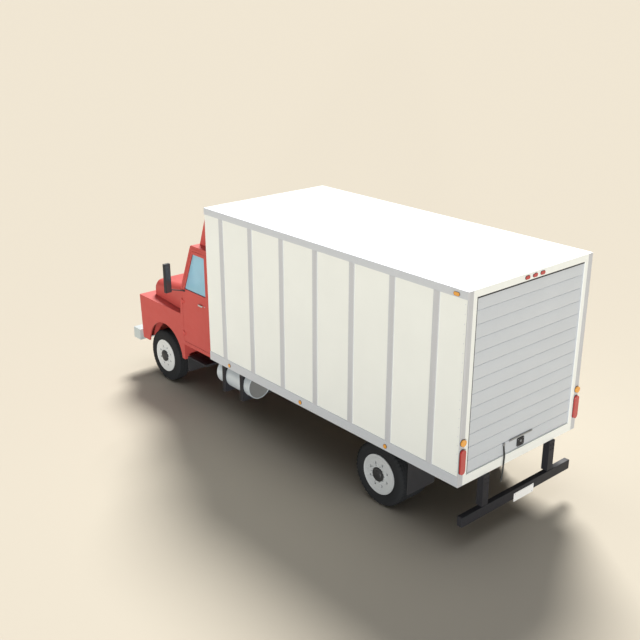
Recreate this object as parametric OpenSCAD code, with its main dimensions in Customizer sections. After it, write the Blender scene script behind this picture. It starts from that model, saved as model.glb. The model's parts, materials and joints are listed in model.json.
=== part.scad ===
// Box truck with a conventional cab, a steel cargo box and twin rear wheels.
// X points forward, Y to the truck's left, Z up; the origin is on the ground
// under the middle of the truck.

/* [Cargo box] */
// Length of the cargo box
box_l = 5334; // [4400:10:7200]
// Width of the cargo box
box_w = 2440; // [2300:10:2600]
// Height of the cargo box
box_h = 2540; // [2000:10:2800]
// Height of the underside of the cargo box above the ground
deck_z = 956; // [950:1:1080]
// Thickness of the cargo box panels
panel_t = 25; // [15:1:40]
// Width of a side post
post_w = 100; // [60:5:140]
// Number of side posts on each side
post_n = 7; // [4:1:10]
// Height of the bottom rail
bottom_rail_h = 145; // [120:5:180]
// Height of the top rail
top_rail_h = 104; // [80:2:140]
// Width of the rear door opening
door_open_w = 2130; // [1900:10:2180]

/* [Wheels] */
// Radius of a tyre
tyre_r = 465; // [440:1:470]
// Width of a tyre
tyre_w = 255; // [220:1:270]
// Radius of the rim where the tyre sits on it
rim_r = 288; // [270:1:300]
// Gap between twin tyres
twin_gap = 30; // [15:1:45]
// Distance from the back of the box to the rear axle
rear_overhang = 1469; // [1200:1:2200]
// Radius of a front wheel spindle
front_spindle_r = 35; // [28:1:42]
// Radius of a rear axle spindle
rear_spindle_r = 45; // [36:1:54]
// Radius of a kingpin
kingpin_r = 20; // [16:1:24]

/* [Cab] */
// Gap between the cab and the cargo box
cab_gap = 96; // [60:1:160]
// Width of the cab and the front wings
cab_w = 2240; // [2100:10:2300]
// Height of the cab roof above the ground
roof_z = 2746; // [2650:1:2850]
// Thickness of the cab walls
cab_wall = 40; // [30:1:50]
// Thickness of a door leaf
door_t = 45; // [35:1:50]
// Gap round a door leaf
door_gap = 6; // [5:0.5:9]
// Thickness of the glass
glass_t = 6; // [4:0.5:8]
// Thickness of the sheet of the bonnet and wings
sheet_t = 30; // [15:1:35]

/* [Chassis] */
// Width over the two frame rails
frame_w = 864; // [820:2:880]
// Depth of a frame rail
rail_h = 250; // [200:5:260]
// How far the frame rails stop short of the box's back
rail_back_in = 400; // [120:5:600]
// Flange width of a frame rail
rail_flange = 75; // [60:1:90]
// Thickness of a frame rail
rail_t = 9; // [6:0.5:12]
// Radius of the fuel tank
tank_r = 220; // [180:1:230]
// Length of the fuel tank
tank_l = 880; // [600:10:1000]

/* [Fits] */
// Radial clearance of a turning pin
pin_fit = 0.05; // [0.02:0.01:0.08]
// Gap where a fixed piece is seated
seat_gap = 0.3; // [0.1:0.1:0.5]

/* [Hidden] */
$fn = 64;

// stations along the truck
rear_out = 41;                                   // rear number plate, behind the back of the box
bumper_front = 2510;                             // front of the bumper, ahead of the cab's back
axle_ahead = 1546;                               // front axle, ahead of the cab's back
overall_l = rear_out + box_l + cab_gap + bumper_front;
rear_x = -overall_l / 2 + rear_out;              // back of the cargo box
box_front_x = rear_x + box_l;
cab_x = box_front_x + cab_gap;                   // back of the cab
rear_axle_x = rear_x + rear_overhang;
front_axle_x = cab_x + axle_ahead;
axle_z = tyre_r;

// cargo box
box_top_z = deck_z + box_h;
wall_z = deck_z + bottom_rail_h;                 // foot of the side walls
wall_top_z = box_top_z - top_rail_h;
rail_in = 50;                                    // thickness of the bottom rail
top_rail_in = 25;                                // thickness of the top rail
panel_inset = 12;                                // panel face, inside the rail's face
post_proud = 10;
half_box = box_w / 2;
panel_y = half_box - panel_inset;                // outer face of a side panel
frame_d = 100;                                   // depth of the rear frame
corner_w = 90;                                   // width of a rear corner post
corner_lip = 15;                                 // what shows of it behind the side wall
header_h = 95;
sill_h = 130;
floor_t = 80;
sill_t = 50;                                     // cross sills, and the long sills under them
rail_top_z = deck_z - sill_t;                    // top of the frame rails
door_in = 20;                                    // rear door, recessed from the frame's face
rear_door_t = 30;
first_post = 490;
last_post = 434;
post_pitch = (box_l - first_post - last_post) / (post_n - 1);

// wheels
front_face_in = 20;                              // front sidewall, inside the wing's side
rear_face_in = 90;                               // outer rear sidewall, inside the box's side
front_wheel_y = cab_w / 2 - front_face_in - tyre_w / 2;
rear_wheel_y = half_box - rear_face_in - tyre_w / 2;
inner_wheel_y = rear_wheel_y - tyre_w - twin_gap;
kingpin_in = 117.5;                              // kingpin, inside the wheel's middle plane
kingpin_y = front_wheel_y - kingpin_in;
rim_w = 220;
rim_t = 20;
disc_t = 14;
disc_face = tyre_w / 2 - 10;                     // outer face of the wheel disc
hub_r = 100;
drum_r = 205;
hand_hole_r = 20;
hand_hole_pitch_r = 172;
hand_hole_n = 8;
steer_arm_l = 180;
tie_z = axle_z - 107;                            // height of the track rod
tie_r = 16;
ear_t = 24;                                      // knuckle ears
boss_h = 120;                                    // axle end between the ears
boss_r = 45;

// cab, measured from its back wall and from the ground
half_cab = cab_w / 2;
cab_floor_t = 70;
cab_z = rail_top_z;                              // underside of the cab, on the rails
cab_floor_z = cab_z + cab_floor_t;
cowl_x = 911;
cowl_z = 1889;                                   // foot of the windscreen pillar
pillar_foot_x = 876;
pillar_top_x = 499;
roof_t = 46;
eave_z = roof_z - roof_t;
pillar_slope = (pillar_foot_x - pillar_top_x) / (roof_z - cowl_z);
door_back_x = 70;
door_front_x = 830;
door_z = cab_floor_z;
door_top_z = roof_z - 90;
door_knee_z = cowl_z - 16;
window_border = 50;
window_sill_z = 1936;
window_top_z = door_top_z - 52;
stop_in = 25;                                    // door stop, inside the opening
stop_t = 15;
hinge_r = 14;
hinge_pin_r = 7;
hinge_h = 50;
hinge_out = 6;
hinge_axial = 1;
door_axis_x = door_front_x + door_gap;
door_axis_y = half_cab + hinge_out;
door_hinge_z = [1120, 1700];
bonnet_hinge_y = 640;
hinge_x = cab_x + 920;                           // bonnet hinge
bonnet_axis_z = 1914;

// front end, measured from the cab's back wall
wing_z = 1449;                                   // top of the wings
wing_front_top = 2273;
wing_front_foot = 2234;
wing_foot_z = 625;
wing_in_y = 560;
arch_x = 1470;
arch_z = 554;
arch_r = 553;
wing_tip_x = 840;
wing_tip_z = 644;
bonnet_back = 925;
bonnet_front = 2093;
bonnet_gap = 6;
bonnet_back_y = 1017;                            // half widths and heights of the bonnet
bonnet_front_y = 909;
bonnet_back_z = 1906;
bonnet_front_z = 1726;
bonnet_r = 130;
nose_x = 2215;
grille_z = rail_top_z + 30;
grille_top_z = wing_z - 110;
bumper_back = 2290;
bumper_z = 556;
bumper_h = 205;
bumper_half = 1160;
lamp_r = 95;
lamp_y = 850;
lamp_z = 1130;

// wheel and driver's place
wheel_x = cab_x + 440;
wheel_y = 500;
wheel_z = 1640;
wheel_tilt = 40;
wheel_r = 215;
column_r = 26;
wheel_pin_r = 12;
// the column ends just short of the cab's front wall
column_l = (cowl_x - cab_wall - 440 - column_r * cos(wheel_tilt) - seat_gap) / sin(wheel_tilt);

// chassis
half_frame = frame_w / 2;
rail_z = rail_top_z - rail_h;
rail_back_x = rear_x + rail_back_in;
rail_front_x = cab_x + bumper_back;
cross_d = 120;
spring_w = 76;
spring_y = half_frame - spring_w / 2 - 4;
tank_x = cab_x - 97 - tank_l;
tank_y = half_box - 340;
tank_z = deck_z - 273;
bracket_w = 76;
bracket_y = half_box - 100;                      // outer face of a tank bracket
hitch_r = 6.75;                                  // four-bolt hitch pattern
hitch_w = 85.7;
hitch_h = 44.5;
hitch_t = 12;
tow_r = 22;
pinion_l = 240;                                  // nose of the rear axle, ahead of its middle

// pull strap: its route over the sill, and its radius
strap_r = 12;
strap_route = [
  [rear_x + 7, 340, 1232], [rear_x + 6, 340, 1205], [rear_x + 2, 340, 1175],
  [rear_x - 5, 341, 1145], [rear_x - 11, 342, 1115], [rear_x - 14, 343, 1085],
  [rear_x - 15, 345, 1050], [rear_x - 15, 347, 1010], [rear_x - 15, 350, 970],
  [rear_x - 16, 353, 930], [rear_x - 17, 357, 890], [rear_x - 18, 362, 850],
  [rear_x - 19, 368, 810], [rear_x - 20, 375, 772], [rear_x - 21, 384, 735]
];

red = "#c03a32";
white = "#e8e8df";
silver = "#bcbec2";
black = "#2c2d30";
steel = "#4a4c50";

// helpers
module both_sides() {
  children();
  mirror([0, 1, 0]) children();
}
// turns a YZ outline into a bar along X
module along_x(x, l) translate([x, 0, 0]) rotate([90, 0, 90]) linear_extrude(l) children();
// turns an XZ outline into a slab between two Y planes
module across(y0, y1) translate([0, y1, 0]) rotate([90, 0, 0]) linear_extrude(y1 - y0) children();
// box given by its two corners
module block(a, b) translate(a) cube(b - a);
module tube_y(x, y0, y1, z, r) translate([x, y0, z]) rotate([-90, 0, 0]) cylinder(h = y1 - y0, r = r);
module tube_x(x0, x1, y, z, r) translate([x0, y, z]) rotate([0, 90, 0]) cylinder(h = x1 - x0, r = r);
module tube_z(x, y, z0, z1, r) translate([x, y, z0]) cylinder(h = z1 - z0, r = r);
// round bar between two points
module bar(p, q, r) {
  d = q - p;
  translate(p) rotate([0, acos(d[2] / norm(d)), atan2(d[1], d[0])]) cylinder(h = norm(d), r = r);
}
// outline with round ends, a long and b wide, lying along the first axis
module lozenge(a, b) {
  square([a - b, b], center = true);
  for (s = [-1, 1]) translate([s * (a - b) / 2, 0]) circle(b / 2);
}

// ---- chassis ----

module frame_rails() color(steel) both_sides()
  translate([rail_back_x, half_frame, rail_z]) rotate([90, 0, 90]) linear_extrude(rail_front_x - rail_back_x)
    polygon([[0, 0], [-rail_flange, 0], [-rail_flange, rail_t], [-rail_t, rail_t],
      [-rail_t, rail_h - rail_t], [-rail_flange, rail_h - rail_t], [-rail_flange, rail_h], [0, rail_h]]);

module cross_members() color(steel) {
  span = half_frame - rail_t;
  low = rail_z + rail_t + 20;
  high = rail_top_z - rail_t - 20;
  for (x = [rear_axle_x - 560, rear_axle_x + 640, cab_x - 1650, cab_x - 350, cab_x + nose_x - cross_d - 15])
    block([x, -span, low], [x + cross_d, span, high]);
  // hitch plate and its beam at the back
  difference() {
    union() {
      block([rail_back_x + hitch_t, -span, low], [rail_back_x + hitch_t + cross_d, span, high]);
      block([rail_back_x, -110, low], [rail_back_x + hitch_t, 110, high]);
    }
    for (y = [-1, 1], z = [-1, 1])
      tube_x(rail_back_x - 1, rail_back_x + hitch_t + 30, y * hitch_w / 2, (low + high) / 2 + z * hitch_h / 2, hitch_r);
  }
  // tow eyes under the front ends of the rails
  both_sides() difference() {
    block([rail_front_x - 105, half_frame - 60, rail_z - 100], [rail_front_x - 5, half_frame - 35, rail_z]);
    tube_y(rail_front_x - 55, half_frame - 61, half_frame - 34, rail_z - 55, tow_r);
  }
}

module engine() color("#55585c")
  block([cab_x + 960, -280, rail_z - 40], [cab_x + 1960, 280, rail_z + 760]);

module drive_shaft() color(steel) {
  block([cab_x + 260, -170, rail_z - 90], [cab_x + 960, 170, rail_top_z - 20]);
  bar([cab_x + 260, 0, rail_z - 20], [rear_axle_x + pinion_l + 5, 0, axle_z + 20], 45);
}

module exhaust() color("#6d6f72") {
  y = -half_frame - 170;
  z = rail_z - 60;
  x = cab_x - 1300;
  down_x = cab_x + 350;
  tube_x(x, x + 900, y, z, 115);
  tube_x(x - 700, x, y, z, 40);
  // down pipe, under the frame rail to the gearbox side
  tube_x(x + 900, down_x, y, z, 40);
  tube_y(down_x, y, -170, z, 40);
  translate([down_x, y, z]) sphere(40);
  for (d = [150, 700]) {
    block([x + d, y - 20, z + 60], [x + d + 50, y + 20, z + 160]);
    block([x + d, y - 20, z + 140], [x + d + 50, -half_frame, z + 160]);
  }
}

module front_axle() color(steel) difference() {
  union() {
    block([front_axle_x - 45, -kingpin_y + 160, axle_z - 125], [front_axle_x + 45, kingpin_y - 160, axle_z - 25]);
    both_sides() {
      along_x(front_axle_x - 40, 80) polygon([[kingpin_y - 220, axle_z - 125], [kingpin_y - 160, axle_z - 125],
        [kingpin_y - 75, axle_z - 54], [kingpin_y - 30, axle_z - 54], [kingpin_y - 30, axle_z + 50], [kingpin_y - 60, axle_z + 50],
        [kingpin_y - 160, axle_z - 25], [kingpin_y - 220, axle_z - 25]]);
      tube_z(front_axle_x, kingpin_y, axle_z - boss_h / 2, axle_z + boss_h / 2, boss_r);
      block([front_axle_x - 90, spring_y - spring_w / 2 - 8, axle_z - 60], [front_axle_x + 90, spring_y + spring_w / 2 + 8, axle_z]);
    }
  }
  both_sides() tube_z(front_axle_x, kingpin_y, axle_z - boss_h, axle_z + boss_h, kingpin_r + pin_fit);
}

module rear_axle() color(steel) {
  tube_y(rear_axle_x, -inner_wheel_y + 90, inner_wheel_y - 90, axle_z, 65);
  translate([rear_axle_x, 0, axle_z]) rotate([0, 90, 0]) rotate_extrude($fn = 48)
    polygon([[0, -150], [120, -150], [210, -60], [210, 40], [110, 190], [70, pinion_l], [0, pinion_l]]);
  both_sides() {
    tube_y(rear_axle_x, inner_wheel_y - 100, rear_wheel_y + 80, axle_z, rear_spindle_r);
    block([rear_axle_x - 90, spring_y - spring_w / 2 - 8, axle_z], [rear_axle_x + 90, spring_y + spring_w / 2 + 8, axle_z + 80]);
  }
}

// one bowed leaf pack with its eyes and hangers; seat_z is the top of the axle's pad
module leaf_pack(x, seat_z, half_l) {
  rise = rail_z - 34 - seat_z;
  thick = 60;
  tip = 16;
  steps = 8;
  function low(t) = seat_z + (rise - tip) * t * t;
  function high(t) = seat_z + thick + (rise - thick) * t * t;
  across(spring_y - spring_w / 2, spring_y + spring_w / 2) {
    polygon(concat(
      [for (i = [-steps:steps]) [x + half_l * i / steps, low(abs(i / steps))]],
      [for (i = [steps:-1:-steps]) [x + half_l * i / steps, high(abs(i / steps))]]));
    for (s = [-1, 1]) translate([x + s * half_l, rail_z - 42]) circle(22);
  }
  for (s = [-1, 1]) block([x + s * half_l - 30, spring_y - spring_w / 2, rail_z - 38], [x + s * half_l + 30, spring_y + spring_w / 2, rail_z]);
}

module leaf_springs() color(steel) both_sides() {
  leaf_pack(front_axle_x, axle_z, 600);
  leaf_pack(rear_axle_x, axle_z + 80, 680);
}

module fuel_tank() color("#a9afb2") difference() {
  union() {
    tube_x(tank_x, tank_x + tank_l, tank_y, tank_z, tank_r);
    tube_z(tank_x + tank_l / 2, tank_y + 90, tank_z, tank_z + tank_r + 12, 38);
  }
  tube_x(tank_x - 1, tank_x + 6, tank_y, tank_z, tank_r - 14);
  tube_x(tank_x + tank_l - 6, tank_x + tank_l + 1, tank_y, tank_z, tank_r - 14);
}

module tank_brackets() color(black) for (x = [tank_x + 138, tank_x + tank_l - 260])
  along_x(x, bracket_w) difference() {
    polygon([[half_frame, tank_z - tank_r - 40], [bracket_y, tank_z - tank_r - 40],
      [bracket_y, deck_z], [bracket_y - 30, deck_z], [bracket_y - 30, tank_z + 60],
      [tank_y, tank_z + 60], [half_frame, tank_z + 60]]);
    translate([tank_y, tank_z]) circle(tank_r + seat_gap);
  }

module cab_steps() color(black) both_sides() {
  block([cab_x + 210, half_cab - 280, deck_z - 270], [cab_x + 720, half_cab, deck_z - 240]);
  for (x = [cab_x + 250, cab_x + 640]) {
    block([x, half_frame, deck_z - 300], [x + 40, half_cab - 40, deck_z - 270]);
    block([x, half_frame, deck_z - 270], [x + 40, half_frame + 30, rail_top_z - 20]);
  }
}

module mudflaps() color(black) both_sides() {
  // behind the front wheel
  block([cab_x + 738, half_frame, deck_z - 533], [cab_x + 752, half_cab, deck_z - 250]);
  // behind the twin rear wheels, on hanger tubes from the frame
  x = rear_axle_x - tyre_r - 95;
  block([x, inner_wheel_y - tyre_w / 2 + 20, 400], [x + 14, half_box - rear_face_in, rail_top_z]);
  tube_y(x + 7, half_frame, half_box - rear_face_in, rail_top_z - 30, 18);
}

module front_bumper() color(silver) difference() {
  block([cab_x + bumper_back, -bumper_half, bumper_z], [cab_x + bumper_front, bumper_half, bumper_z + bumper_h]);
  block([cab_x + bumper_back + 12, -bumper_half + 12, bumper_z - 1],
    [cab_x + bumper_front - 12, bumper_half - 12, bumper_z + bumper_h - 12]);
}

module rear_bumper() color(black) {
  half = half_box - 85;
  block([rear_x - 35, -half, deck_z - 590], [rear_x + 45, half, deck_z - 450]);
  for (s = [-1, 1]) translate([0, s * 687, 0])
    block([rear_x - 25, -60, deck_z - 450], [rear_x + 75, 60, deck_z]);
}

module licence_plate() color("#d8d8d4")
  block([rear_x - rear_out, -320, deck_z - 630], [rear_x - 35, 100, deck_z - 505]);

// ---- front end ----

module wing_outline(inset = 0) polygon([
  [cab_x + cowl_x + inset, wing_z - inset], [cab_x + cowl_x + inset, cab_z - 3],
  [cab_x + wing_tip_x + inset, cab_z - 3], [cab_x + wing_tip_x + inset, wing_tip_z],
  [cab_x + wing_tip_x + inset, wing_tip_z - 20 - inset], [cab_x + wing_front_foot - inset, wing_foot_z - inset],
  [cab_x + wing_front_top - inset, wing_z - inset]]);

module wing() difference() {
  across(wing_in_y, half_cab) wing_outline();
  across(wing_in_y + sheet_t / 2, half_cab - sheet_t) wing_outline(sheet_t);
  tube_y(cab_x + arch_x, wing_in_y - 1, half_cab + 1, arch_z, arch_r);
  // open below the tips, and behind the arch where the tip ends
  block([cab_x + wing_tip_x + sheet_t, wing_in_y - 1, 0], [cab_x + wing_front_foot - sheet_t, half_cab - sheet_t, wing_tip_z + 60]);
  // seat of the headlight
  tube_x(cab_x + nose_x - 80, cab_x + wing_front_top + 1, lamp_y, lamp_z, lamp_r + seat_gap);
}

module wing_left() color(red) wing();
module wing_right() color(red) mirror([0, 1, 0]) wing();

module nose_panel() color(red) {
  half = wing_in_y - seat_gap;
  // deck ahead of the bonnet
  block([cab_x + bonnet_front - 60, -half, wing_z - sheet_t], [cab_x + nose_x + 40, half, wing_z]);
  difference() {
    block([cab_x + nose_x, -half, wing_foot_z + 80], [cab_x + nose_x + 40, half, wing_z - sheet_t]);
    block([cab_x + nose_x - 1, -half + 70, grille_z], [cab_x + nose_x + 41, half - 70, grille_top_z]);
    both_sides() block([cab_x + nose_x - 1, half_frame - rail_flange - 5, 0], [cab_x + nose_x + 41, half_frame + 5, rail_top_z + 5]);
  }
}

module grille() color(silver) {
  half = wing_in_y - seat_gap - 70 - seat_gap;
  low = grille_z + seat_gap;
  high = grille_top_z - seat_gap;
  bars = 9;
  difference() {
    block([cab_x + nose_x + 8, -half, low], [cab_x + nose_x + 34, half, high]);
    for (i = [0:bars - 1]) {
      pitch = (high - low - 40) / bars;
      block([cab_x + nose_x, -half + 30, low + 30 + i * pitch], [cab_x + nose_x + 41, half - 30, low + 20 + (i + 0.6) * pitch]);
    }
  }
}

module headlights() color("#e6ecef") both_sides()
  tube_x(cab_x + nose_x - 10, cab_x + wing_front_top - 8, lamp_y, lamp_z, lamp_r);

// one cross section of the bonnet with round shoulders
module bonnet_section(x, half, top, foot, r) along_x(x, 1) intersection() {
  translate([-half, foot]) square([2 * half, top - foot]);
  union() {
    translate([-half, foot]) square([2 * half, top - foot - r]);
    translate([-half + r, foot]) square([2 * (half - r), top - foot]);
    for (s = [-1, 1]) translate([s * (half - r), top - r]) circle(r, $fn = 32);
  }
}

// outside of the bonnet, or its inside when drawn in by a wall
module bonnet_form(wall) {
  foot = wing_z + bonnet_gap - (wall > 0 ? 1 : 0);
  hull() {
    bonnet_section(cab_x + bonnet_back + wall, bonnet_back_y - wall, bonnet_back_z - wall, foot, bonnet_r);
    bonnet_section(cab_x + bonnet_front - 70 - wall, bonnet_front_y + 6 - wall, bonnet_front_z + 10 - wall, foot, bonnet_r);
    bonnet_section(cab_x + bonnet_front - 1 - wall, bonnet_front_y - 24 - wall, bonnet_front_z - 34 - wall, foot, bonnet_r);
  }
}

module bonnet() color(red) {
  both_sides() hinge_eye_y(bonnet_hinge_y);
  difference() {
    bonnet_form(0);
    bonnet_form(sheet_t);
    both_sides() tube_y(hinge_x, bonnet_hinge_y - hinge_h / 2 - 24, bonnet_hinge_y + hinge_h / 2 + 24, bonnet_axis_z, hinge_r + 5);
  }
}

// moving eye of the bonnet hinge, with the arm that joins it to the bonnet
module hinge_eye_y(y) difference() {
  union() {
    tube_y(hinge_x, y - hinge_h / 2, y + hinge_h / 2, bonnet_axis_z, hinge_r);
    block([hinge_x, y - hinge_h / 2, bonnet_axis_z - hinge_r], [hinge_x + 60, y + hinge_h / 2, bonnet_axis_z - hinge_r + 10]);
  }
  tube_y(hinge_x, y - hinge_h, y + hinge_h, bonnet_axis_z, hinge_pin_r + pin_fit);
}

// ---- cab ----

function at_cab(points) = [for (p = points) [cab_x + p[0], p[1]]];
// the pillar's front line at a height
function pillar_x(z) = pillar_foot_x - (z - cowl_z) * pillar_slope;

module cab_outline() polygon(at_cab([[0, cab_z], [cowl_x, cab_z], [cowl_x, wing_z + 60],
  [pillar_foot_x, cowl_z], [pillar_x(eave_z), eave_z], [0, eave_z]]));
module cab_inside() polygon(at_cab([[cab_wall, cab_floor_z], [cowl_x - cab_wall, cab_floor_z],
  [cowl_x - cab_wall, wing_z + 60], [pillar_foot_x - cab_wall, cowl_z - 5],
  [pillar_x(eave_z) - cab_wall, eave_z + 1], [cab_wall, eave_z + 1]]));

// outline of a door leaf, grown by g
module door_outline(g) {
  top = door_top_z + g;
  knee = door_knee_z + g / 2;
  polygon(at_cab([[door_back_x - g, door_z - g], [door_front_x + g, door_z - g], [door_front_x + g, knee],
    [door_front_x + g - (top - knee) * pillar_slope, top], [door_back_x - g, top]]));
}

module window_outline(g) polygon(at_cab([
  [door_back_x + window_border - g, window_sill_z - g],
  [door_front_x - window_border - (window_sill_z - door_knee_z) * pillar_slope + g, window_sill_z - g],
  [door_front_x - window_border - (window_top_z - door_knee_z) * pillar_slope + g, window_top_z + g],
  [door_back_x + window_border - g, window_top_z + g]]));

// the opening for the windscreen, or the glass in it, between two half widths
module screen_slab(half, low, high, front, t) across(-half, half)
  polygon(at_cab([[pillar_x(low) - front, low], [pillar_x(high) - front, high],
    [pillar_x(high) - front - t, high], [pillar_x(low) - front - t, low]]));

screen_half = half_cab - 110;
screen_low = cowl_z + 50;
screen_high = eave_z - 60;
back_window = [520, 2060, 2500];                 // half width, bottom and top

module cab_shell() color(red) {
  difference() {
    across(-half_cab, half_cab) cab_outline();
    across(-half_cab + door_t + door_gap + stop_t, half_cab - door_t - door_gap - stop_t) cab_inside();
    both_sides() {
      across(half_cab - door_t - door_gap, half_cab + 1) door_outline(door_gap);
      across(half_cab - door_t - door_gap - stop_t - 1, half_cab - door_t) door_outline(-stop_in);
      for (z = door_hinge_z)
        tube_z(cab_x + door_axis_x, door_axis_y, z - hinge_h / 2 - hinge_axial, z + hinge_h / 2 + hinge_axial, hinge_r + 5);
    }
    screen_slab(screen_half, screen_low, screen_high, -20, cab_wall + 50);
    block([cab_x - 1, -back_window[0], back_window[1]], [cab_x + cab_wall + 1, back_window[0], back_window[2]]);
  }
  // box under the seat
  difference() {
    block([cab_x + cab_wall, -820, cab_floor_z], [cab_x + 600, 820, cab_floor_z + 210]);
    block([cab_x + cab_wall + 20, -800, cab_floor_z], [cab_x + 580, 800, cab_floor_z + 190]);
  }
  // fixed halves of the door hinges
  both_sides() for (z = door_hinge_z) {
    for (s = [-1, 1]) translate([0, 0, z + s * (hinge_h / 2 + hinge_axial + 10)])
      tube_z(cab_x + door_axis_x, door_axis_y, -10, 10, hinge_r);
    tube_z(cab_x + door_axis_x, door_axis_y, z - hinge_h / 2 - 5, z + hinge_h / 2 + 5, hinge_pin_r);
  }
  // fixed halves of the bonnet hinges, on arms from the cowl
  both_sides() {
    for (s = [-1, 1]) translate([0, bonnet_hinge_y + s * (hinge_h / 2 + hinge_axial + 8), 0]) {
      tube_y(hinge_x, -8, 8, bonnet_axis_z, hinge_r);
      across(-8, 8) polygon([[cab_x + pillar_foot_x - 5, cowl_z - 30], [hinge_x, bonnet_axis_z - hinge_r],
        [hinge_x, bonnet_axis_z + 6], [cab_x + pillar_foot_x - 12, cowl_z + 20]]);
    }
    tube_y(hinge_x, bonnet_hinge_y - hinge_h / 2 - 5, bonnet_hinge_y + hinge_h / 2 + 5, bonnet_axis_z, hinge_pin_r);
  }
}

module cab_roof() color(red) across(-half_cab, half_cab)
  polygon(at_cab([[0, eave_z], [pillar_x(eave_z), eave_z], [pillar_x(roof_z - 8), roof_z - 8],
    [pillar_x(roof_z) - 14, roof_z], [8, roof_z], [0, roof_z - 8]]));

module cab_glass() color("#8cb9c8", 0.5) {
  screen_slab(screen_half - seat_gap, screen_low + seat_gap, screen_high - seat_gap, 16, glass_t);
  block([cab_x + 16, -back_window[0] + seat_gap, back_window[1] + seat_gap],
    [cab_x + 16 + glass_t, back_window[0] - seat_gap, back_window[2] - seat_gap]);
}

module dashboard() color("#3a3b3e") {
  half = half_cab - door_t - door_gap - stop_t - seat_gap - 10;
  across(-half, half) polygon(at_cab([[650, 1640], [cowl_x - cab_wall - seat_gap, 1560],
    [cowl_x - cab_wall - seat_gap, wing_z + 60], [pillar_foot_x - cab_wall - 4, cowl_z - 20], [700, cowl_z - 10], [650, 1830]]));
  // steering column and the pin that the wheel turns on
  translate([wheel_x, wheel_y, wheel_z]) rotate([0, -wheel_tilt, 0]) {
    translate([0, 0, -column_l]) cylinder(h = column_l - 30, r = column_r);
    translate([0, 0, -40]) cylinder(h = 60, r = wheel_pin_r);
  }
  block([cab_x + 680, wheel_y - 15, 1360], [cab_x + 720, wheel_y + 15, 1640]);
}

module bench_seat() color("#45474b") {
  half = 800;
  low = cab_floor_z + 210 + seat_gap;
  block([cab_x + 70, -half, low], [cab_x + 610, half, low + 170]);
  across(-half, half) polygon(at_cab([[cab_wall + seat_gap, low + 175], [210, low + 175], [150, low + 760], [cab_wall + seat_gap, low + 760]]));
}

module roof_deflector() color(red) difference() {
  across(-half_cab + 150, half_cab - 150) polygon(at_cab([[20, roof_z], [445, roof_z], [205, roof_z + 630], [20, roof_z + 630]]));
  across(-half_cab + 170, half_cab - 170) polygon(at_cab([[19, roof_z - 1], [424, roof_z - 1], [191, roof_z + 610], [19, roof_z + 610]]));
}

module door_leaf() difference() {
  union() {
    difference() {
      across(half_cab - door_t, half_cab) door_outline(0);
      across(half_cab - door_t - 1, half_cab + 1) window_outline(0);
    }
    for (z = door_hinge_z)
      tube_z(cab_x + door_axis_x, door_axis_y, z - hinge_h / 2, z + hinge_h / 2, hinge_r);
    for (z = door_hinge_z)
      block([cab_x + door_axis_x - 60, half_cab - 4, z - hinge_h / 2], [cab_x + door_axis_x, half_cab + 10, z + hinge_h / 2]);
    // handle
    tube_y(cab_x + 210, half_cab - 1, half_cab + 22, deck_z + 812, 9);
    tube_y(cab_x + 300, half_cab - 1, half_cab + 22, deck_z + 812, 9);
    translate([cab_x + 255, half_cab + 22, deck_z + 812]) cube([120, 14, 26], center = true);
  }
  for (z = door_hinge_z) {
    tube_z(cab_x + door_axis_x, door_axis_y, z - hinge_h, z + hinge_h, hinge_pin_r + pin_fit);
    for (s = [-1, 1]) translate([0, 0, z + s * (hinge_h / 2 + 13)])
      tube_z(cab_x + door_axis_x, door_axis_y, -13, 13, hinge_r + 5);
  }
}

module door_pane() across(half_cab - door_t / 2 - glass_t / 2, half_cab - door_t / 2 + glass_t / 2) window_outline(-seat_gap);

module mirror_unit() {
  arm_r = 9;
  root = [cab_x + 748, half_cab + arm_r, deck_z + 949];
  head = [cab_x + 935, half_cab + 160, deck_z + 955];
  bar(root, head, arm_r);
  block([root[0] - 16, half_cab, root[2] - 14], [root[0] + 16, half_cab + 2 * arm_r, root[2] + 14]);
  block([cab_x + 905, half_cab + 150, deck_z + 915], [cab_x + 965, half_cab + 260, deck_z + 1415]);
}

module door_left() color(red) door_leaf();
module door_right() color(red) mirror([0, 1, 0]) door_leaf();
module door_glass_left() color("#8cb9c8", 0.5) door_pane();
module door_glass_right() color("#8cb9c8", 0.5) mirror([0, 1, 0]) door_pane();
module mirror_left() color(black) mirror_unit();
module mirror_right() color(black) mirror([0, 1, 0]) mirror_unit();

module steering_wheel() color(black) translate([wheel_x, wheel_y, wheel_z]) rotate([0, -wheel_tilt, 0]) difference() {
  union() {
    rotate_extrude($fn = 72) translate([wheel_r - 16, 0]) circle(16, $fn = 24);
    translate([0, 0, -18]) cylinder(h = 45, r = 45);
    for (a = [90, 210, 330]) rotate(a) translate([30, -16, -8]) cube([wheel_r - 50, 32, 16]);
  }
  translate([0, 0, -50]) cylinder(h = 70.5, r = wheel_pin_r + pin_fit);
}

// ---- running gear ----

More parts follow.
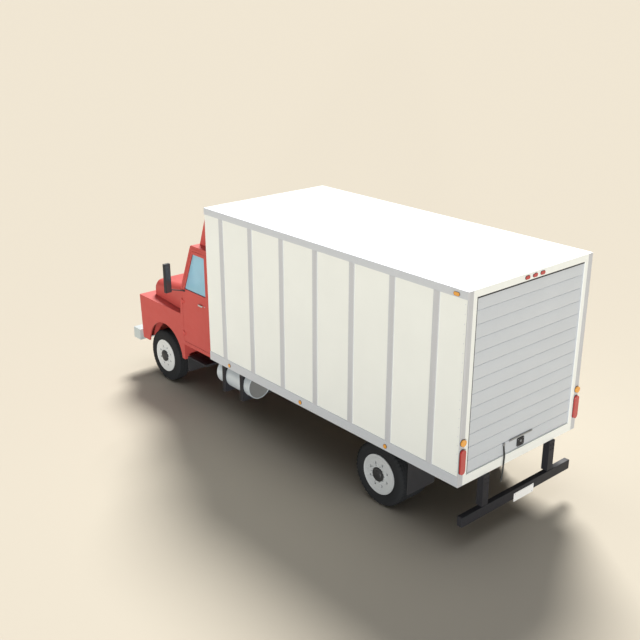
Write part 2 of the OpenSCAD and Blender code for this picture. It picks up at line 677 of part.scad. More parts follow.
module knuckle() color(steel) {
  low = axle_z - boss_h / 2 - seat_gap;
  high = axle_z + boss_h / 2 + seat_gap;
  outer = kingpin_y + boss_r + 8;
  tube_z(front_axle_x, kingpin_y, low - ear_t, high + ear_t, kingpin_r);
  for (z = [low - ear_t, high]) {
    tube_z(front_axle_x, kingpin_y, z, z + ear_t, boss_r);
    block([front_axle_x - boss_r, kingpin_y, z], [front_axle_x + boss_r, outer + 14, z + ear_t]);
  }
  block([front_axle_x - boss_r, outer, low - ear_t], [front_axle_x + boss_r, outer + 14, high + ear_t]);
  tube_y(front_axle_x, outer + 5, front_wheel_y + 85, axle_z, front_spindle_r);
  tube_y(front_axle_x, outer + 6, outer + 14, axle_z, drum_r - 5);
  // steering arm, and the pin of the track rod
  block([front_axle_x - steer_arm_l, kingpin_y - 18, low - ear_t], [front_axle_x - 20, kingpin_y + 18, low - 4]);
  tube_z(front_axle_x - steer_arm_l, kingpin_y, low - ear_t, low - 4, 24);
  tube_z(front_axle_x - steer_arm_l, kingpin_y, tie_z - tie_r - 4, low - ear_t + 1, 10);
}

module knuckle_left() knuckle();
module knuckle_right() mirror([0, 1, 0]) knuckle();

module tie_rod() color(steel) difference() {
  x = front_axle_x - steer_arm_l;
  union() {
    tube_y(x, -kingpin_y, kingpin_y, tie_z, tie_r);
    both_sides() tube_z(x, kingpin_y, tie_z - tie_r, tie_z + tie_r, 26);
  }
  tube_z(x, kingpin_y, tie_z - 40, tie_z + 40, 10 + pin_fit);
  tube_z(x, -kingpin_y, tie_z - 40, tie_z + 40, 12);
}

// rim with its disc; the axis is Z and +Z is the outer side of the wheel
module rim(disc_z) {
  half = rim_w / 2;
  difference() {
    rotate_extrude($fn = 96) polygon([[rim_r - rim_t, -half], [rim_r, -half], [rim_r, disc_z],
      [0, disc_z], [0, disc_z - disc_t], [rim_r - rim_t, disc_z - disc_t]]);
    for (i = [0:hand_hole_n - 1]) rotate((i + 0.5) * 360 / hand_hole_n)
      translate([hand_hole_pitch_r, 0, disc_z - disc_t - 1]) cylinder(h = disc_t + 2, r = hand_hole_r);
  }
}

module tyre() rotate_extrude($fn = 96) {
  half = tyre_w / 2;
  shoulder = 26;
  difference() {
    polygon([[rim_r + seat_gap, -half + 26], [rim_r + 34, -half + 6], [rim_r + 90, -half], [tyre_r - shoulder - 24, -half + 2],
      [tyre_r - 14, -half + shoulder - 6], [tyre_r, -half + shoulder + 14], [tyre_r, half - shoulder - 14],
      [tyre_r - 14, half - shoulder + 6], [tyre_r - shoulder - 24, half - 2], [rim_r + 90, half], [rim_r + 34, half - 6],
      [rim_r + seat_gap, half - 26]]);
    translate([rim_r - 1, -half + 60]) square([tyre_r - rim_r - 25, tyre_w - 120]);
  }
}

module on_axle(x, y) translate([x, y, axle_z]) rotate([-90, 0, 0]) children();

module front_rim() color("#c8cac8") on_axle(front_axle_x, front_wheel_y) difference() {
  union() {
    rim(disc_face);
    translate([0, 0, -30]) cylinder(h = disc_face - disc_t / 2 + 30, r = drum_r);
    translate([0, 0, disc_face - 25]) cylinder(h = 45, r = hub_r);
  }
  translate([0, 0, -31]) cylinder(h = 31 + 86, r = front_spindle_r + pin_fit);
}

module rear_rims() color("#c8cac8") difference() {
  union() {
    on_axle(rear_axle_x, rear_wheel_y) {
      rim(disc_face);
      translate([0, 0, disc_face - 25]) cylinder(h = 45, r = hub_r);
    }
    on_axle(rear_axle_x, inner_wheel_y) rim(40);
    tube_y(rear_axle_x, inner_wheel_y - 70, inner_wheel_y + 30, axle_z, drum_r);
    tube_y(rear_axle_x, inner_wheel_y + 20, rear_wheel_y + disc_face - 10, axle_z, 140);
  }
  tube_y(rear_axle_x, inner_wheel_y - 80, rear_wheel_y + 81, axle_z, rear_spindle_r + pin_fit);
}

module front_tyre() color(black) on_axle(front_axle_x, front_wheel_y) tyre();
module rear_tyres() color(black) for (y = [inner_wheel_y, rear_wheel_y]) on_axle(rear_axle_x, y) tyre();

module rim_front_left() front_rim();
module rim_front_right() mirror([0, 1, 0]) front_rim();
module tyre_front_left() front_tyre();
module tyre_front_right() mirror([0, 1, 0]) front_tyre();
module rims_rear_left() rear_rims();
module rims_rear_right() mirror([0, 1, 0]) rear_rims();
module tyres_rear_left() rear_tyres();
module tyres_rear_right() mirror([0, 1, 0]) rear_tyres();

// ---- cargo box ----

module box_floor() color("#7a6a55") {
  in_y = half_box - rail_in;
  block([rear_x + frame_d, -in_y, deck_z + sill_t], [box_front_x - rail_in, in_y, deck_z + sill_t + floor_t]);
  n = 12;
  first = rear_x + frame_d + 60;
  pitch = (box_front_x - rail_in - 160 - first) / (n - 1);
  for (i = [0:n - 1]) block([first + i * pitch, -in_y, deck_z], [first + i * pitch + 60, in_y, deck_z + sill_t]);
  both_sides() block([rear_x + frame_d, half_frame - 60, rail_top_z], [box_front_x - 60, half_frame, deck_z]);
}

module box_side_walls() color(white) both_sides()
  block([rear_x + corner_lip, panel_y - panel_t, wall_z], [box_front_x, panel_y, wall_top_z]);

module box_front_wall() color(white)
  block([box_front_x - panel_t, -panel_y + panel_t, wall_z], [box_front_x, panel_y - panel_t, wall_top_z]);

module box_roof() color("#f2f2ef")
  block([rear_x + frame_d, -half_box + top_rail_in, box_top_z - 24],
    [box_front_x - top_rail_in, half_box - top_rail_in, box_top_z - 4]);

module box_rails() color(silver) {
  ring(wall_z - bottom_rail_h, wall_z, rail_in);
  ring(wall_top_z, box_top_z, top_rail_in);
}

// rail along both sides and across the front
module ring(z0, z1, t) difference() {
  block([rear_x + corner_lip, -half_box, z0], [box_front_x, half_box, z1]);
  block([rear_x + corner_lip - 1, -half_box + t, z0 - 1], [box_front_x - t, half_box - t, z1 + 1]);
}

module box_posts() color(silver) both_sides() {
  for (i = [0:post_n - 1]) {
    x = rear_x + first_post + i * post_pitch;
    block([x - post_w / 2, panel_y, wall_z], [x + post_w / 2, panel_y + post_proud, wall_top_z]);
  }
  // rear corner post, notched for the ends of the rails and the side wall
  difference() {
    block([rear_x, half_box - corner_w, deck_z], [rear_x + frame_d, half_box, box_top_z]);
    corner_notch(deck_z - 1, wall_z, rail_in);
    corner_notch(wall_z, wall_top_z, panel_inset + panel_t);
    corner_notch(wall_top_z, box_top_z + 1, top_rail_in);
  }
}

module corner_notch(z0, z1, depth)
  block([rear_x + corner_lip, half_box - depth, z0], [rear_x + frame_d + 1, half_box + 1, z1]);

module rear_frame() color("#ecece8") difference() {
  block([rear_x, -half_box + corner_w, deck_z], [rear_x + frame_d, half_box - corner_w, box_top_z]);
  block([rear_x - 1, -door_open_w / 2, deck_z + sill_h], [rear_x + frame_d + 1, door_open_w / 2, box_top_z - header_h]);
}

module rear_door() color("#c6cac9")
  block([rear_x + door_in, -door_open_w / 2 + seat_gap, deck_z + sill_h + seat_gap],
    [rear_x + door_in + rear_door_t, door_open_w / 2 - seat_gap, box_top_z - header_h - seat_gap]);

module door_hardware() color("#8d9093") {
  z = deck_z + 305;
  block([rear_x + 4, -243, z - 11], [rear_x + 12, 237, z + 11]);
  for (y = [-200, 200]) tube_x(rear_x + 11, rear_x + door_in, y, z, 12);
  // anchor of the pull strap
  top = strap_route[0];
  block([rear_x + 2, top[1] - 18, top[2] + 0.5], [rear_x + door_in, top[1] + 18, top[2] + 30]);
}

module latch_plate() color(black)
  translate([rear_x + door_in - 14, -10, deck_z + 215]) rotate([90, 0, 90]) linear_extrude(14) {
    square([140, 80], center = true);
    square([100, 120], center = true);
    for (a = [-1, 1], b = [-1, 1]) translate([a * 50, b * 40]) circle(20);
  }

// points of a ring round the route, square to its direction
function route_dir(i) = let (n = len(strap_route), d = strap_route[min(i + 1, n - 1)] - strap_route[max(i - 1, 0)]) d / norm(d);
function ring_point(i, k, sides) = let (d = route_dir(i), u = cross([0, 1, 0], d) / norm(cross([0, 1, 0], d)), v = cross(d, u))
  strap_route[i] + strap_r * (cos(360 * k / sides) * u + sin(360 * k / sides) * v);

module pull_strap() color(black) {
  sides = 8;
  n = len(strap_route);
  polyhedron(
    points = [for (i = [0:n - 1], k = [0:sides - 1]) ring_point(i, k, sides)],
    faces = concat(
      [[for (k = [0:sides - 1]) k]],
      [for (i = [0:n - 2], k = [0:sides - 1])
        [i * sides + k, (i + 1) * sides + k, (i + 1) * sides + (k + 1) % sides, i * sides + (k + 1) % sides]],
      [[for (k = [sides - 1:-1:0]) (n - 1) * sides + k]]));
}

module red_lamps() color("#c83c3c") {
  for (s = [-1, 1]) translate([rear_x - 30, s * (half_box - corner_w / 2), deck_z + 350])
    rotate([90, 0, 90]) linear_extrude(30) rotate(90) lozenge(340, corner_w);
  for (y = [-150, 0, 150]) translate([rear_x - 12, y, box_top_z - 50])
    rotate([90, 0, 90]) linear_extrude(12) lozenge(84, 46);
}

module amber_lamps() color("#f0a032") {
  for (s = [-1, 1]) tube_x(rear_x - 28, rear_x, s * (half_box - corner_w / 2), deck_z + 610, 45);
  both_sides() {
    for (x = [1260, 3020, 4790]) tube_y(rear_x + x, half_box, half_box + 8, deck_z + 62, 30);
    translate([rear_x + 180, half_box + 8, box_top_z - 64]) rotate([90, 0, 0]) linear_extrude(8) lozenge(90, 46);
  }
}

frame_rails();
cross_members();
engine();
drive_shaft();
exhaust();
front_axle();
rear_axle();
leaf_springs();
fuel_tank();
tank_brackets();
cab_steps();
mudflaps();
front_bumper();
rear_bumper();
licence_plate();
wing_left();
wing_right();
nose_panel();
grille();
headlights();
cab_shell();
cab_roof();
cab_glass();
dashboard();
bench_seat();
roof_deflector();
box_floor();
box_side_walls();
box_front_wall();
box_roof();
box_rails();
box_posts();
rear_frame();
rear_door();
door_hardware();
latch_plate();
pull_strap();
red_lamps();
amber_lamps();
bonnet();
door_left();
door_right();
door_glass_left();
door_glass_right();
mirror_left();
mirror_right();
steering_wheel();
knuckle_left();
knuckle_right();
tie_rod();
rim_front_left();
rim_front_right();
tyre_front_left();
tyre_front_right();
rims_rear_left();
rims_rear_right();
tyres_rear_left();
tyres_rear_right();
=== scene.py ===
import json
import math

import bmesh
import bpy
from mathutils import Matrix, Vector


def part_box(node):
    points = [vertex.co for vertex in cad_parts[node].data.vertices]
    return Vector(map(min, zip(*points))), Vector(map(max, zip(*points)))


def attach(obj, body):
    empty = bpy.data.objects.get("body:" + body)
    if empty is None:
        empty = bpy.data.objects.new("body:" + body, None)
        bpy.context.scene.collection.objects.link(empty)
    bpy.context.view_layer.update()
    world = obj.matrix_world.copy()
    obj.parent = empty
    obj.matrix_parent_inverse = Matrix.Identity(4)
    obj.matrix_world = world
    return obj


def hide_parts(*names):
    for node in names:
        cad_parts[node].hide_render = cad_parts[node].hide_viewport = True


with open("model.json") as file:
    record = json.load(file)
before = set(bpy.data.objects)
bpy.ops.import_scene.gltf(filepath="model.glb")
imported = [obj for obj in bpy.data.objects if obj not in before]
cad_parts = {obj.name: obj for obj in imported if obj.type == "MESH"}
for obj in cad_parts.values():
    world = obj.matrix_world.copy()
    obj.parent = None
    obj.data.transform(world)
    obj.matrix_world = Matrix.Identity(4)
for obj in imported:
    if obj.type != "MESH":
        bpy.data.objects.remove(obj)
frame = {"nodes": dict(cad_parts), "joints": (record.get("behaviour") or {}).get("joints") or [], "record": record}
nodes = frame["nodes"]
joints = {joint["name"]: joint for joint in frame["joints"]}
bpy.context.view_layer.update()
scene = bpy.context.scene
forward, backward, upward = (1, 0, 0), (-1, 0, 0), (0, 0, 1)
print("frame loaded:", len(nodes), "nodes")


# shader nodes
def setInputs(tree, node, inputs):
    # each input gets a value, or a link from another node's socket
    for key, value in inputs.items():
        if isinstance(value, bpy.types.NodeSocket):
            tree.links.new(value, node.inputs[key])
        else:
            node.inputs[key].default_value = value


def addNode(tree, kind, inputs=None, **settings):
    node = tree.nodes.new("ShaderNode" + kind)
    for key, value in settings.items():
        setattr(node, key, value)
    setInputs(tree, node, inputs or {})
    return node


# camera, floor and light
studio = {
    "cameraPlace": (-10.193, 8.834, 6.810),
    "cameraAim": (-2.399, 2.107, 2.938),
    "lens": 51.1,
    "floorHalf": 700.0,
    "floorColour": (0.482, 0.440, 0.366),
    "keyStrength": 6.3,
    "keyFrom": (0.67, -0.74, 1.0),
    "keyAngle": 20,
    "keyColour": (1.0, 0.985, 0.96),
    "fillStrength": 2.75,
    "fillFrom": (-0.80, 0.80, 0.025),
    "fillAngle": 3,
    "skyColour": (0.95, 0.97, 1.0),
    "skyStrength": 1.4,
    "skyFalloff": 5,
    "hazeColour": (0.87, 0.79, 0.66),
}


def makeCamera():
    data = bpy.data.cameras.new("camera")
    data.lens = studio["lens"]
    data.sensor_width = 36
    data.clip_end = 3000      # past the floor's far corner
    camera = bpy.data.objects.new("camera", data)
    place, aim = Vector(studio["cameraPlace"]), Vector(studio["cameraAim"])
    camera.location = place
    camera.rotation_euler = (aim - place).to_track_quat("-Z", "Y").to_euler()
    scene.collection.objects.link(camera)
    scene.camera = camera


def makeSun(name, strength, fromDirection, angle, colour=(1, 1, 1)):
    data = bpy.data.lights.new(name, "SUN")
    data.energy = strength
    data.angle = math.radians(angle)
    data.color = colour
    light = bpy.data.objects.new(name, data)
    light.rotation_euler = Vector(fromDirection).to_track_quat("Z", "Y").to_euler()
    scene.collection.objects.link(light)


def makeSky():
    world = bpy.data.worlds.new("studioSky")
    world.use_nodes = True
    tree = world.node_tree
    # brightest overhead, dark at the horizon
    place = addNode(tree, "TexCoord").outputs["Generated"]
    level = addNode(tree, "SeparateXYZ", {"Vector": place}).outputs["Z"]
    for operation, value in (("MAXIMUM", 0), ("POWER", studio["skyFalloff"]), ("MULTIPLY", studio["skyStrength"])):
        level = addNode(tree, "Math", {0: level, 1: value}, operation=operation).outputs[0]
    sky = tree.nodes["Background"]
    setInputs(tree, sky, {"Color": (*studio["skyColour"], 1), "Strength": level})
    # what shows past the floor's edge is the floor's own pale tone
    haze = addNode(tree, "Background", {"Color": (*studio["hazeColour"], 1)})
    pick = addNode(tree, "MixShader", {"Fac": addNode(tree, "LightPath").outputs["Is Camera Ray"],
                                       1: sky.outputs["Background"], 2: haze.outputs["Background"]})
    setInputs(tree, tree.nodes["World Output"], {"Surface": pick.outputs["Shader"]})
    scene.world = world


def makeFloor():
    half = studio["floorHalf"]
    mesh = bpy.data.meshes.new("studioFloor")
    mesh.from_pydata([(-half, -half, 0), (half, -half, 0), (half, half, 0), (-half, half, 0)], [], [(0, 1, 2, 3)])
    floor = bpy.data.objects.new("studioFloor", mesh)
    scene.collection.objects.link(floor)
    mat = bpy.data.materials.new("studioFloor")
    mat.use_nodes = True
    setInputs(mat.node_tree, mat.node_tree.nodes["Principled BSDF"],
              {"Base Color": (*studio["floorColour"], 1), "Roughness": 1, "Specular IOR Level": 0})
    mesh.materials.append(mat)


makeCamera()
makeSun("keyLight", studio["keyStrength"], studio["keyFrom"], studio["keyAngle"], studio["keyColour"])
makeSun("fillLight", studio["fillStrength"], studio["fillFrom"], studio["fillAngle"])
makeSky()
makeFloor()
scene.view_settings.view_transform = "Standard"
print("studio ready")


# finishes
# a texture is its node, its output, its settings, and its stretch or the direction of its bands
def noise(scale, detail, stretch=None):
    return "TexNoise", "Fac", (("Scale", scale), ("Detail", detail)), stretch


def rampOf(tree, source, stops):
    ramp = addNode(tree, "ValToRGB", {"Fac": source})
    elements = ramp.color_ramp.elements
    for element, (position, colour) in zip(elements, (stops[0], stops[-1])):
        element.position, element.color = position, (*colour, 1)
    for position, colour in stops[1:-1]:
        elements.new(position).color = (*colour, 1)
    return ramp.outputs["Color"]


def shade(colour, factor):
    return tuple(min(1, c * factor) for c in colour)


def mottled(colour, spread):
    return [(0.3, shade(colour, 1 - spread)), (0.7, shade(colour, 1 + spread))]


def surface(name, inputs, tone, stops, relief, bump, wear=None, rough=None):
    # tone colours it by the stops; relief raises it by bump, a strength and a distance in metres
    # wear, or else tone, spreads its roughness between the two values of rough
    mat = bpy.data.materials.new(name)
    mat.use_nodes = True
    tree = mat.node_tree
    shader = tree.nodes["Principled BSDF"]
    setInputs(tree, shader, inputs)
    place = addNode(tree, "TexCoord").outputs["Object"]
    made = {}

    def sourceOf(texture):
        if texture not in made:
            kind, output, sockets, extra = texture
            at = place
            if kind == "TexNoise" and extra:
                at = addNode(tree, "Mapping", {"Scale": extra, "Vector": place}).outputs["Vector"]
            settings = {"bands_direction": extra} if kind == "TexWave" else {}
            made[texture] = addNode(tree, kind, {**dict(sockets), "Vector": at}, **settings).outputs[output]
        return made[texture]

    setInputs(tree, shader, {"Base Color": rampOf(tree, sourceOf(tone), stops)})
    if rough:
        spread = addNode(tree, "MapRange", {"Value": sourceOf(wear or tone), "From Min": 0.3, "From Max": 0.7,
                                            "To Min": rough[0], "To Max": rough[1]})
        setInputs(tree, shader, {"Roughness": spread.outputs["Result"]})
    raised = addNode(tree, "Bump", {"Strength": bump[0], "Distance": bump[1], "Height": sourceOf(relief)})
    setInputs(tree, shader, {"Normal": raised.outputs["Normal"]})
    return mat


def enamel(name, colour, rough=0.4, coat=0.0, mottle=0.035, peel=0.05, metal=0.0, gloss=0.5):
    # sprayed paint: faint cloudiness over metres, orange peel over millimetres
    return surface(name, {"Metallic": metal, "Specular IOR Level": gloss, "Coat Weight": coat,
                          "Coat Roughness": 0.12},
                   noise(1.7, 4), mottled(colour, mottle), noise(420, 2), (peel, 0.001),
                   noise(9, 4), (rough - 0.05, rough + 0.06))


def brushed(name, colour, rough=0.35, metal=0.85, grain=(1, 1, 40), mottle=0.05):
    # drawn or extruded metal: fine lines along its length
    lines = noise(14, 5, grain)
    return surface(name, {"Metallic": metal}, lines, mottled(colour, mottle), lines, (0.05, 0.001),
                   rough=(rough - 0.06, rough + 0.08))


def rubber(name, colour, rough=0.75, grain=90, depth=0.25, gloss=0.5):
    # moulded rubber or plastic: a fine pebble and a dusty bloom
    return surface(name, {"Specular IOR Level": gloss}, noise(6, 5), [(0.3, colour), (0.72, shade(colour, 1.35))],
                   noise(grain, 3), (depth, 0.001), rough=(rough - 0.06, rough + 0.08))


def casting(name, colour, rough=0.55):
    # cast iron or forged steel under chassis paint: grainy, with pale dusty patches
    return surface(name, {"Metallic": 0.3}, noise(5, 6),
                   [(0.32, colour), (0.6, shade(colour, 1.25)), (0.8, (0.085, 0.078, 0.068))],
                   noise(160, 4), (0.25, 0.0015), rough=(rough - 0.08, rough + 0.15))


def tintedGlass(name, colour, alpha):
    return surface(name, {"Roughness": 0.04, "Alpha": alpha, "IOR": 1.5}, noise(2.2, 3),
                   [(0.3, shade(colour, 0.94)), (0.7, shade(colour, 1.05))], noise(3, 1), (0.02, 0.002))


def lampLens(name, colour, glow):
    # moulded lens: fine upright flutes under a gloss surface
    flutes = "TexWave", "Fac", (("Scale", 35.0318),), "Y"
    return surface(name, {"Roughness": 0.18, "Emission Strength": glow, "Emission Color": (*colour, 1),
                          "Coat Weight": 0.6},
                   flutes, [(0.0, shade(colour, 0.86)), (1.0, shade(colour, 1.1))], flutes, (0.25, 0.001))


def webbing(name, colour):
    weave = "TexWave", "Fac", (("Scale", 160), ("Distortion", 0.6)), "Z"
    return surface(name, {"Roughness": 0.9, "Sheen Weight": 0.3}, weave,
                   [(0.0, shade(colour, 0.7)), (1.0, shade(colour, 1.5))], weave, (0.5, 0.001))


def vinyl(name, colour):
    cells = "TexVoronoi", "Distance", (("Scale", 260),), None
    return surface(name, {}, noise(7, 4), [(0.3, colour), (0.7, shade(colour, 1.3))], cells, (0.3, 0.001),
                   rough=(0.42, 0.6))


def plankWood(name, colour):
    grain = noise(3, 8, (1, 18, 1))
    return surface(name, {"Roughness": 0.7}, grain,
                   [(0.3, shade(colour, 0.7)), (0.5, colour), (0.7, shade(colour, 1.3))], grain, (0.3, 0.002))


def pair(name):
    return [name + "_left", name + "_right"]


finishes = {
    "red": enamel("redPaint", (0.50, 0.077, 0.066), 0.5, 0.06, 0.03, gloss=0.25),
    "cream": enamel("creamPanel", (0.78, 0.80, 0.755), 0.5, 0.0, 0.015),
    "roof": enamel("roofWhite", (0.93, 0.93, 0.92), 0.5, 0.0, 0.01),
    "frameWhite": enamel("frameWhite", (0.82, 0.84, 0.80), 0.45, 0.0, 0.012),
    "slat": enamel("slatGrey", (0.54, 0.57, 0.60), 0.5, 0.0, 0.015),
    "silver": brushed("railSilver", (0.58, 0.61, 0.645), 0.5, 0.25, (40, 1, 1)),
    "post": brushed("postSilver", (0.56, 0.575, 0.60), 0.5, 0.25, (1, 1, 0.05)),
    "black": enamel("blackPaint", (0.024, 0.024, 0.028), 0.6, 0.0, 0.1, gloss=0.3),
    "chassis": casting("chassisPaint", (0.034, 0.034, 0.036)),
    "engine": casting("engineIron", (0.05, 0.052, 0.056), 0.6),
    "spring": casting("springSteel", (0.04, 0.038, 0.036), 0.5),
    "exhaust": brushed("exhaustSteel", (0.22, 0.21, 0.20), 0.5, 0.9, (30, 1, 1), 0.2),
    "tank": brushed("tankMetal", (0.60, 0.66, 0.69), 0.38, 0.2, (1, 30, 30), 0.03),
    "tankEnd": enamel("tankEndGrey", (0.21, 0.215, 0.21), 0.5, 0.0, 0.04),
    "tyre": rubber("tyreRubber", (0.014, 0.015, 0.016), 0.85, gloss=0.25),
    "flap": rubber("flapRubber", (0.026, 0.026, 0.028), 0.7, 60),
    "plastic": rubber("mouldedBlack", (0.026, 0.028, 0.030), 0.65, 300, 0.15, gloss=0.3),
    "dash": rubber("dashGrain", (0.055, 0.055, 0.06), 0.7, 240, 0.2),
    "rim": enamel("wheelEnamel", (0.62, 0.64, 0.63), 0.4, 0.0, 0.03),
    # rear rims: the wheel enamel painted darker, as painted shade for the shadow under the box
    "rearRim": enamel("shadedRearWheelEnamel", (0.46, 0.48, 0.48), 0.5, 0.0, 0.04),
    "drum": enamel("drumGrey", (0.20, 0.205, 0.20), 0.6, 0.0, 0.05),
    "hub": casting("hubIron", (0.036, 0.037, 0.038), 0.5),
    "bumper": enamel("bumperSilver", (0.45, 0.51, 0.51), 0.35, 0.2, 0.01),
    "chrome": brushed("brightChrome", (0.50, 0.55, 0.56), 0.28, 0.7, (1, 20, 1), 0.03),
    "steel": brushed("zincSteel", (0.30, 0.31, 0.32), 0.4, 0.8, (1, 30, 1), 0.08),
    "grille": brushed("grilleSilver", (0.48, 0.49, 0.50), 0.35, 0.6, (1, 20, 1), 0.04),
    "mirror": enamel("mirrorFace", (0.055, 0.058, 0.062), 0.22, 0.5, 0.05, 0.02, 0.2),
    "plate": enamel("plateWhite", (0.90, 0.90, 0.88), 0.4, 0.1, 0.01),
    "glass": tintedGlass("safetyGlass", (0.36, 0.66, 0.81), 0.6),
    "clearLens": tintedGlass("headlampGlass", (0.80, 0.85, 0.88), 0.5),
    "redLens": lampLens("redLens", (0.44, 0.030, 0.028), 0.05),
    "amberLens": lampLens("amberLens", (0.74, 0.33, 0.045), 0.09),
    "vinyl": vinyl("seatVinyl", (0.055, 0.06, 0.07)),
    "strap": webbing("strapWebbing", (0.012, 0.014, 0.013)),
    "wood": plankWood("floorPlanks", (0.22, 0.15, 0.09)),
}

nodeFinish = {
    "red": [*pair("wing"), "nose_panel", "cab_shell", "cab_roof", "roof_deflector", "bonnet", *pair("door")],
    "cream": ["box_side_walls", "box_front_wall"],
    "roof": ["box_roof"],
    "frameWhite": ["rear_frame"],
    "slat": ["rear_door"],
    "silver": ["box_rails"],
    "post": ["box_posts"],
    "black": ["tank_brackets", "cab_steps", "rear_bumper", "latch_plate"],
    "chassis": ["frame_rails", "cross_members", "drive_shaft", "front_axle", "rear_axle", *pair("knuckle"),
                "tie_rod"],
    "engine": ["engine"],
    "spring": ["leaf_springs"],
    "exhaust": ["exhaust"],
    "tank": ["fuel_tank"],
    "tyre": [name for name in nodes if name.startswith("tyre")],
    "rim": pair("rim_front"),
    "rearRim": pair("rims_rear"),
    "flap": ["mudflaps"],
    "plastic": [*pair("mirror"), "steering_wheel"],
    "dash": ["dashboard"],
    "bumper": ["front_bumper"],
    "steel": ["door_hardware"],
    "grille": ["grille"],
    "plate": ["licence_plate"],
    "glass": ["cab_glass", *pair("door_glass")],
    "clearLens": ["headlights"],
    "redLens": ["red_lamps"],
    "amberLens": ["amber_lamps"],
    "vinyl": ["bench_seat"],
    "strap": ["pull_strap"],
    "wood": ["box_floor"],
}


def paintNodes():
    for finish, names in nodeFinish.items():
        for name in names:
            mesh = nodes[name].data
            mesh.materials.clear()
            mesh.materials.append(finishes[finish])
            for polygon in mesh.polygons:
                polygon.material_index = 0


def softenEdges(piece, width, segments=2):
    edge = piece.modifiers.new("softEdge", "BEVEL")
    edge.width = width
    edge.segments = segments
    edge.limit_method = "ANGLE"
    edge.angle_limit = math.radians(40)
    return edge


paintNodes()
print("finishes on every node")


# tools for building pieces
def bothSides():
    return (("left", 1), ("right", -1))


def boxOf(name):
    # low corner, high corner and middle of a node
    low, high = (Vector(corner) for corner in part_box(name))
    return low, high, (low + high) / 2


def placesOf(name):
    return [v.co for v in nodes[name].data.vertices]


def bodyOfNode(name):
    for body, members in frame["record"]["behaviour"]["bodies"].items():
        if name in members:
            return body
    return "chassis"


def around(count, offset=0.0):
    # cosine and sine of equal steps round a circle
    angles = [2 * math.pi * (i + offset) / count for i in range(count)]
    return [(math.cos(angle), math.sin(angle)) for angle in angles]


def turnTo(direction):
    return Vector(direction).normalized().to_track_quat("Z", "Y")


def skin(bm, rings, closed=False):
    # faces between rings of equal length; closed joins the last ring to the first
    for a, b in zip(rings, rings[1:] + (rings[:1] if closed else [])):
        for k in range(len(a)):
            n = (k + 1) % len(a)
            bm.faces.new((a[k], a[n], b[n], b[k]))
    if not closed:
        bm.faces.new(rings[0])
        bm.faces.new(list(reversed(rings[-1])))


def addBox(bm, low, high):
    corners = [bm.verts.new((x, y, z)) for x in (low[0], high[0]) for y in (low[1], high[1])
               for z in (low[2], high[2])]
    for loop in ((0, 1, 3, 2), (4, 6, 7, 5), (0, 4, 5, 1), (2, 3, 7, 6), (0, 2, 6, 4), (1, 5, 7, 3)):
        bm.faces.new([corners[i] for i in loop])


def addRod(bm, start, end, radius, sides=16):
    start, end = Vector(start), Vector(end)
    place = Matrix.Translation((start + end) / 2) @ turnTo(end - start).to_matrix().to_4x4()
    bmesh.ops.create_cone(bm, cap_ends=True, segments=sides, radius1=radius, radius2=radius,
                          depth=(end - start).length, matrix=place)


def addLathe(bm, profile, centre, direction, segments=48, closed=False):
    # profile is (radius, distance along the direction); a radius of 0 closes the end
    turn, centre = turnTo(direction), Vector(centre)
    rings = []
    for radius, along in profile:
        steps = around(segments) if radius else [(0, 0)]
        rings.append([bm.verts.new(centre + turn @ Vector((radius * c, radius * s, along))) for c, s in steps])
    for a, b in zip(rings, rings[1:] + (rings[:1] if closed else [])):
        for i in range(segments):
            j = (i + 1) % segments
            face = list(dict.fromkeys([a[i % len(a)], a[j % len(a)], b[j % len(b)], b[i % len(b)]]))
            if len(face) > 2:
                bm.faces.new(face)


def addDome(bm, place, direction, radius, height, sides=8):
    # rivet or screw head: three rings of one shallow dome
    addLathe(bm, [(radius, 0), (radius * 0.8, height * 0.6), (radius * 0.4, height * 0.95), (0, height)],
             place, direction, sides)


def addHexNut(bm, place, direction, radius, height):
    addLathe(bm, [(radius * 1.25, 0), (radius * 1.2, height * 0.12), (radius, height * 0.16),
                  (radius, height * 0.88), (radius * 0.86, height), (radius * 0.5, height),
                  (radius * 0.45, height * 1.25), (0, height * 1.3)], place, direction, 6)


def addTube(bm, path, radius, sides=8):
    # round tube through a list of points
    points = [Vector(p) for p in path]
    rings = []
    side = None
    for i, point in enumerate(points):
        ahead = (points[min(i + 1, len(points) - 1)] - points[max(i - 1, 0)]).normalized()
        if side is None:
            side = ahead.orthogonal().normalized()
        side = (side - ahead * side.dot(ahead)).normalized()
        across = ahead.cross(side)
        rings.append([bm.verts.new(point + radius * (side * c + across * s)) for c, s in around(sides)])
    skin(bm, rings)


def addPrism(bm, outline, start, end, axis):
    # outline is two coordinates, in the order of the other two axes
    rings = []
    for along in (start, end):
        spots = [list(pair) for pair in outline]
        for spot in spots:
            spot.insert(axis, along)
        rings.append([bm.verts.new(spot) for spot in spots])
    skin(bm, rings)


def roundedOutline(a0, a1, b0, b1, radius, steps=5):
    a0, a1 = min(a0, a1), max(a0, a1)
    points = []
    for ca, cb, start in ((a1 - radius, b1 - radius, 0), (a0 + radius, b1 - radius, 90),
                          (a0 + radius, b0 + radius, 180), (a1 - radius, b0 + radius, 270)):
        for k in range(steps + 1):
            angle = math.radians(start + 90 * k / steps)
            points.append((ca + radius * math.cos(angle), cb + radius * math.sin(angle)))
    return points


def islandsOf(mesh):
    # groups of vertex places that share faces, found by place because seams split vertices
    keys = [tuple(round(c, 4) for c in v.co) for v in mesh.vertices]
    leader = {k: k for k in keys}

    def find(k):
        while leader[k] != k:
            leader[k] = leader[leader[k]]
            k = leader[k]
        return k

    for polygon in mesh.polygons:
        first = find(keys[polygon.vertices[0]])
        for v in polygon.vertices[1:]:
            leader[find(keys[v])] = first
    groups = {}
    for k in leader:
        groups.setdefault(find(k), []).append(k)
    return list(groups.values())


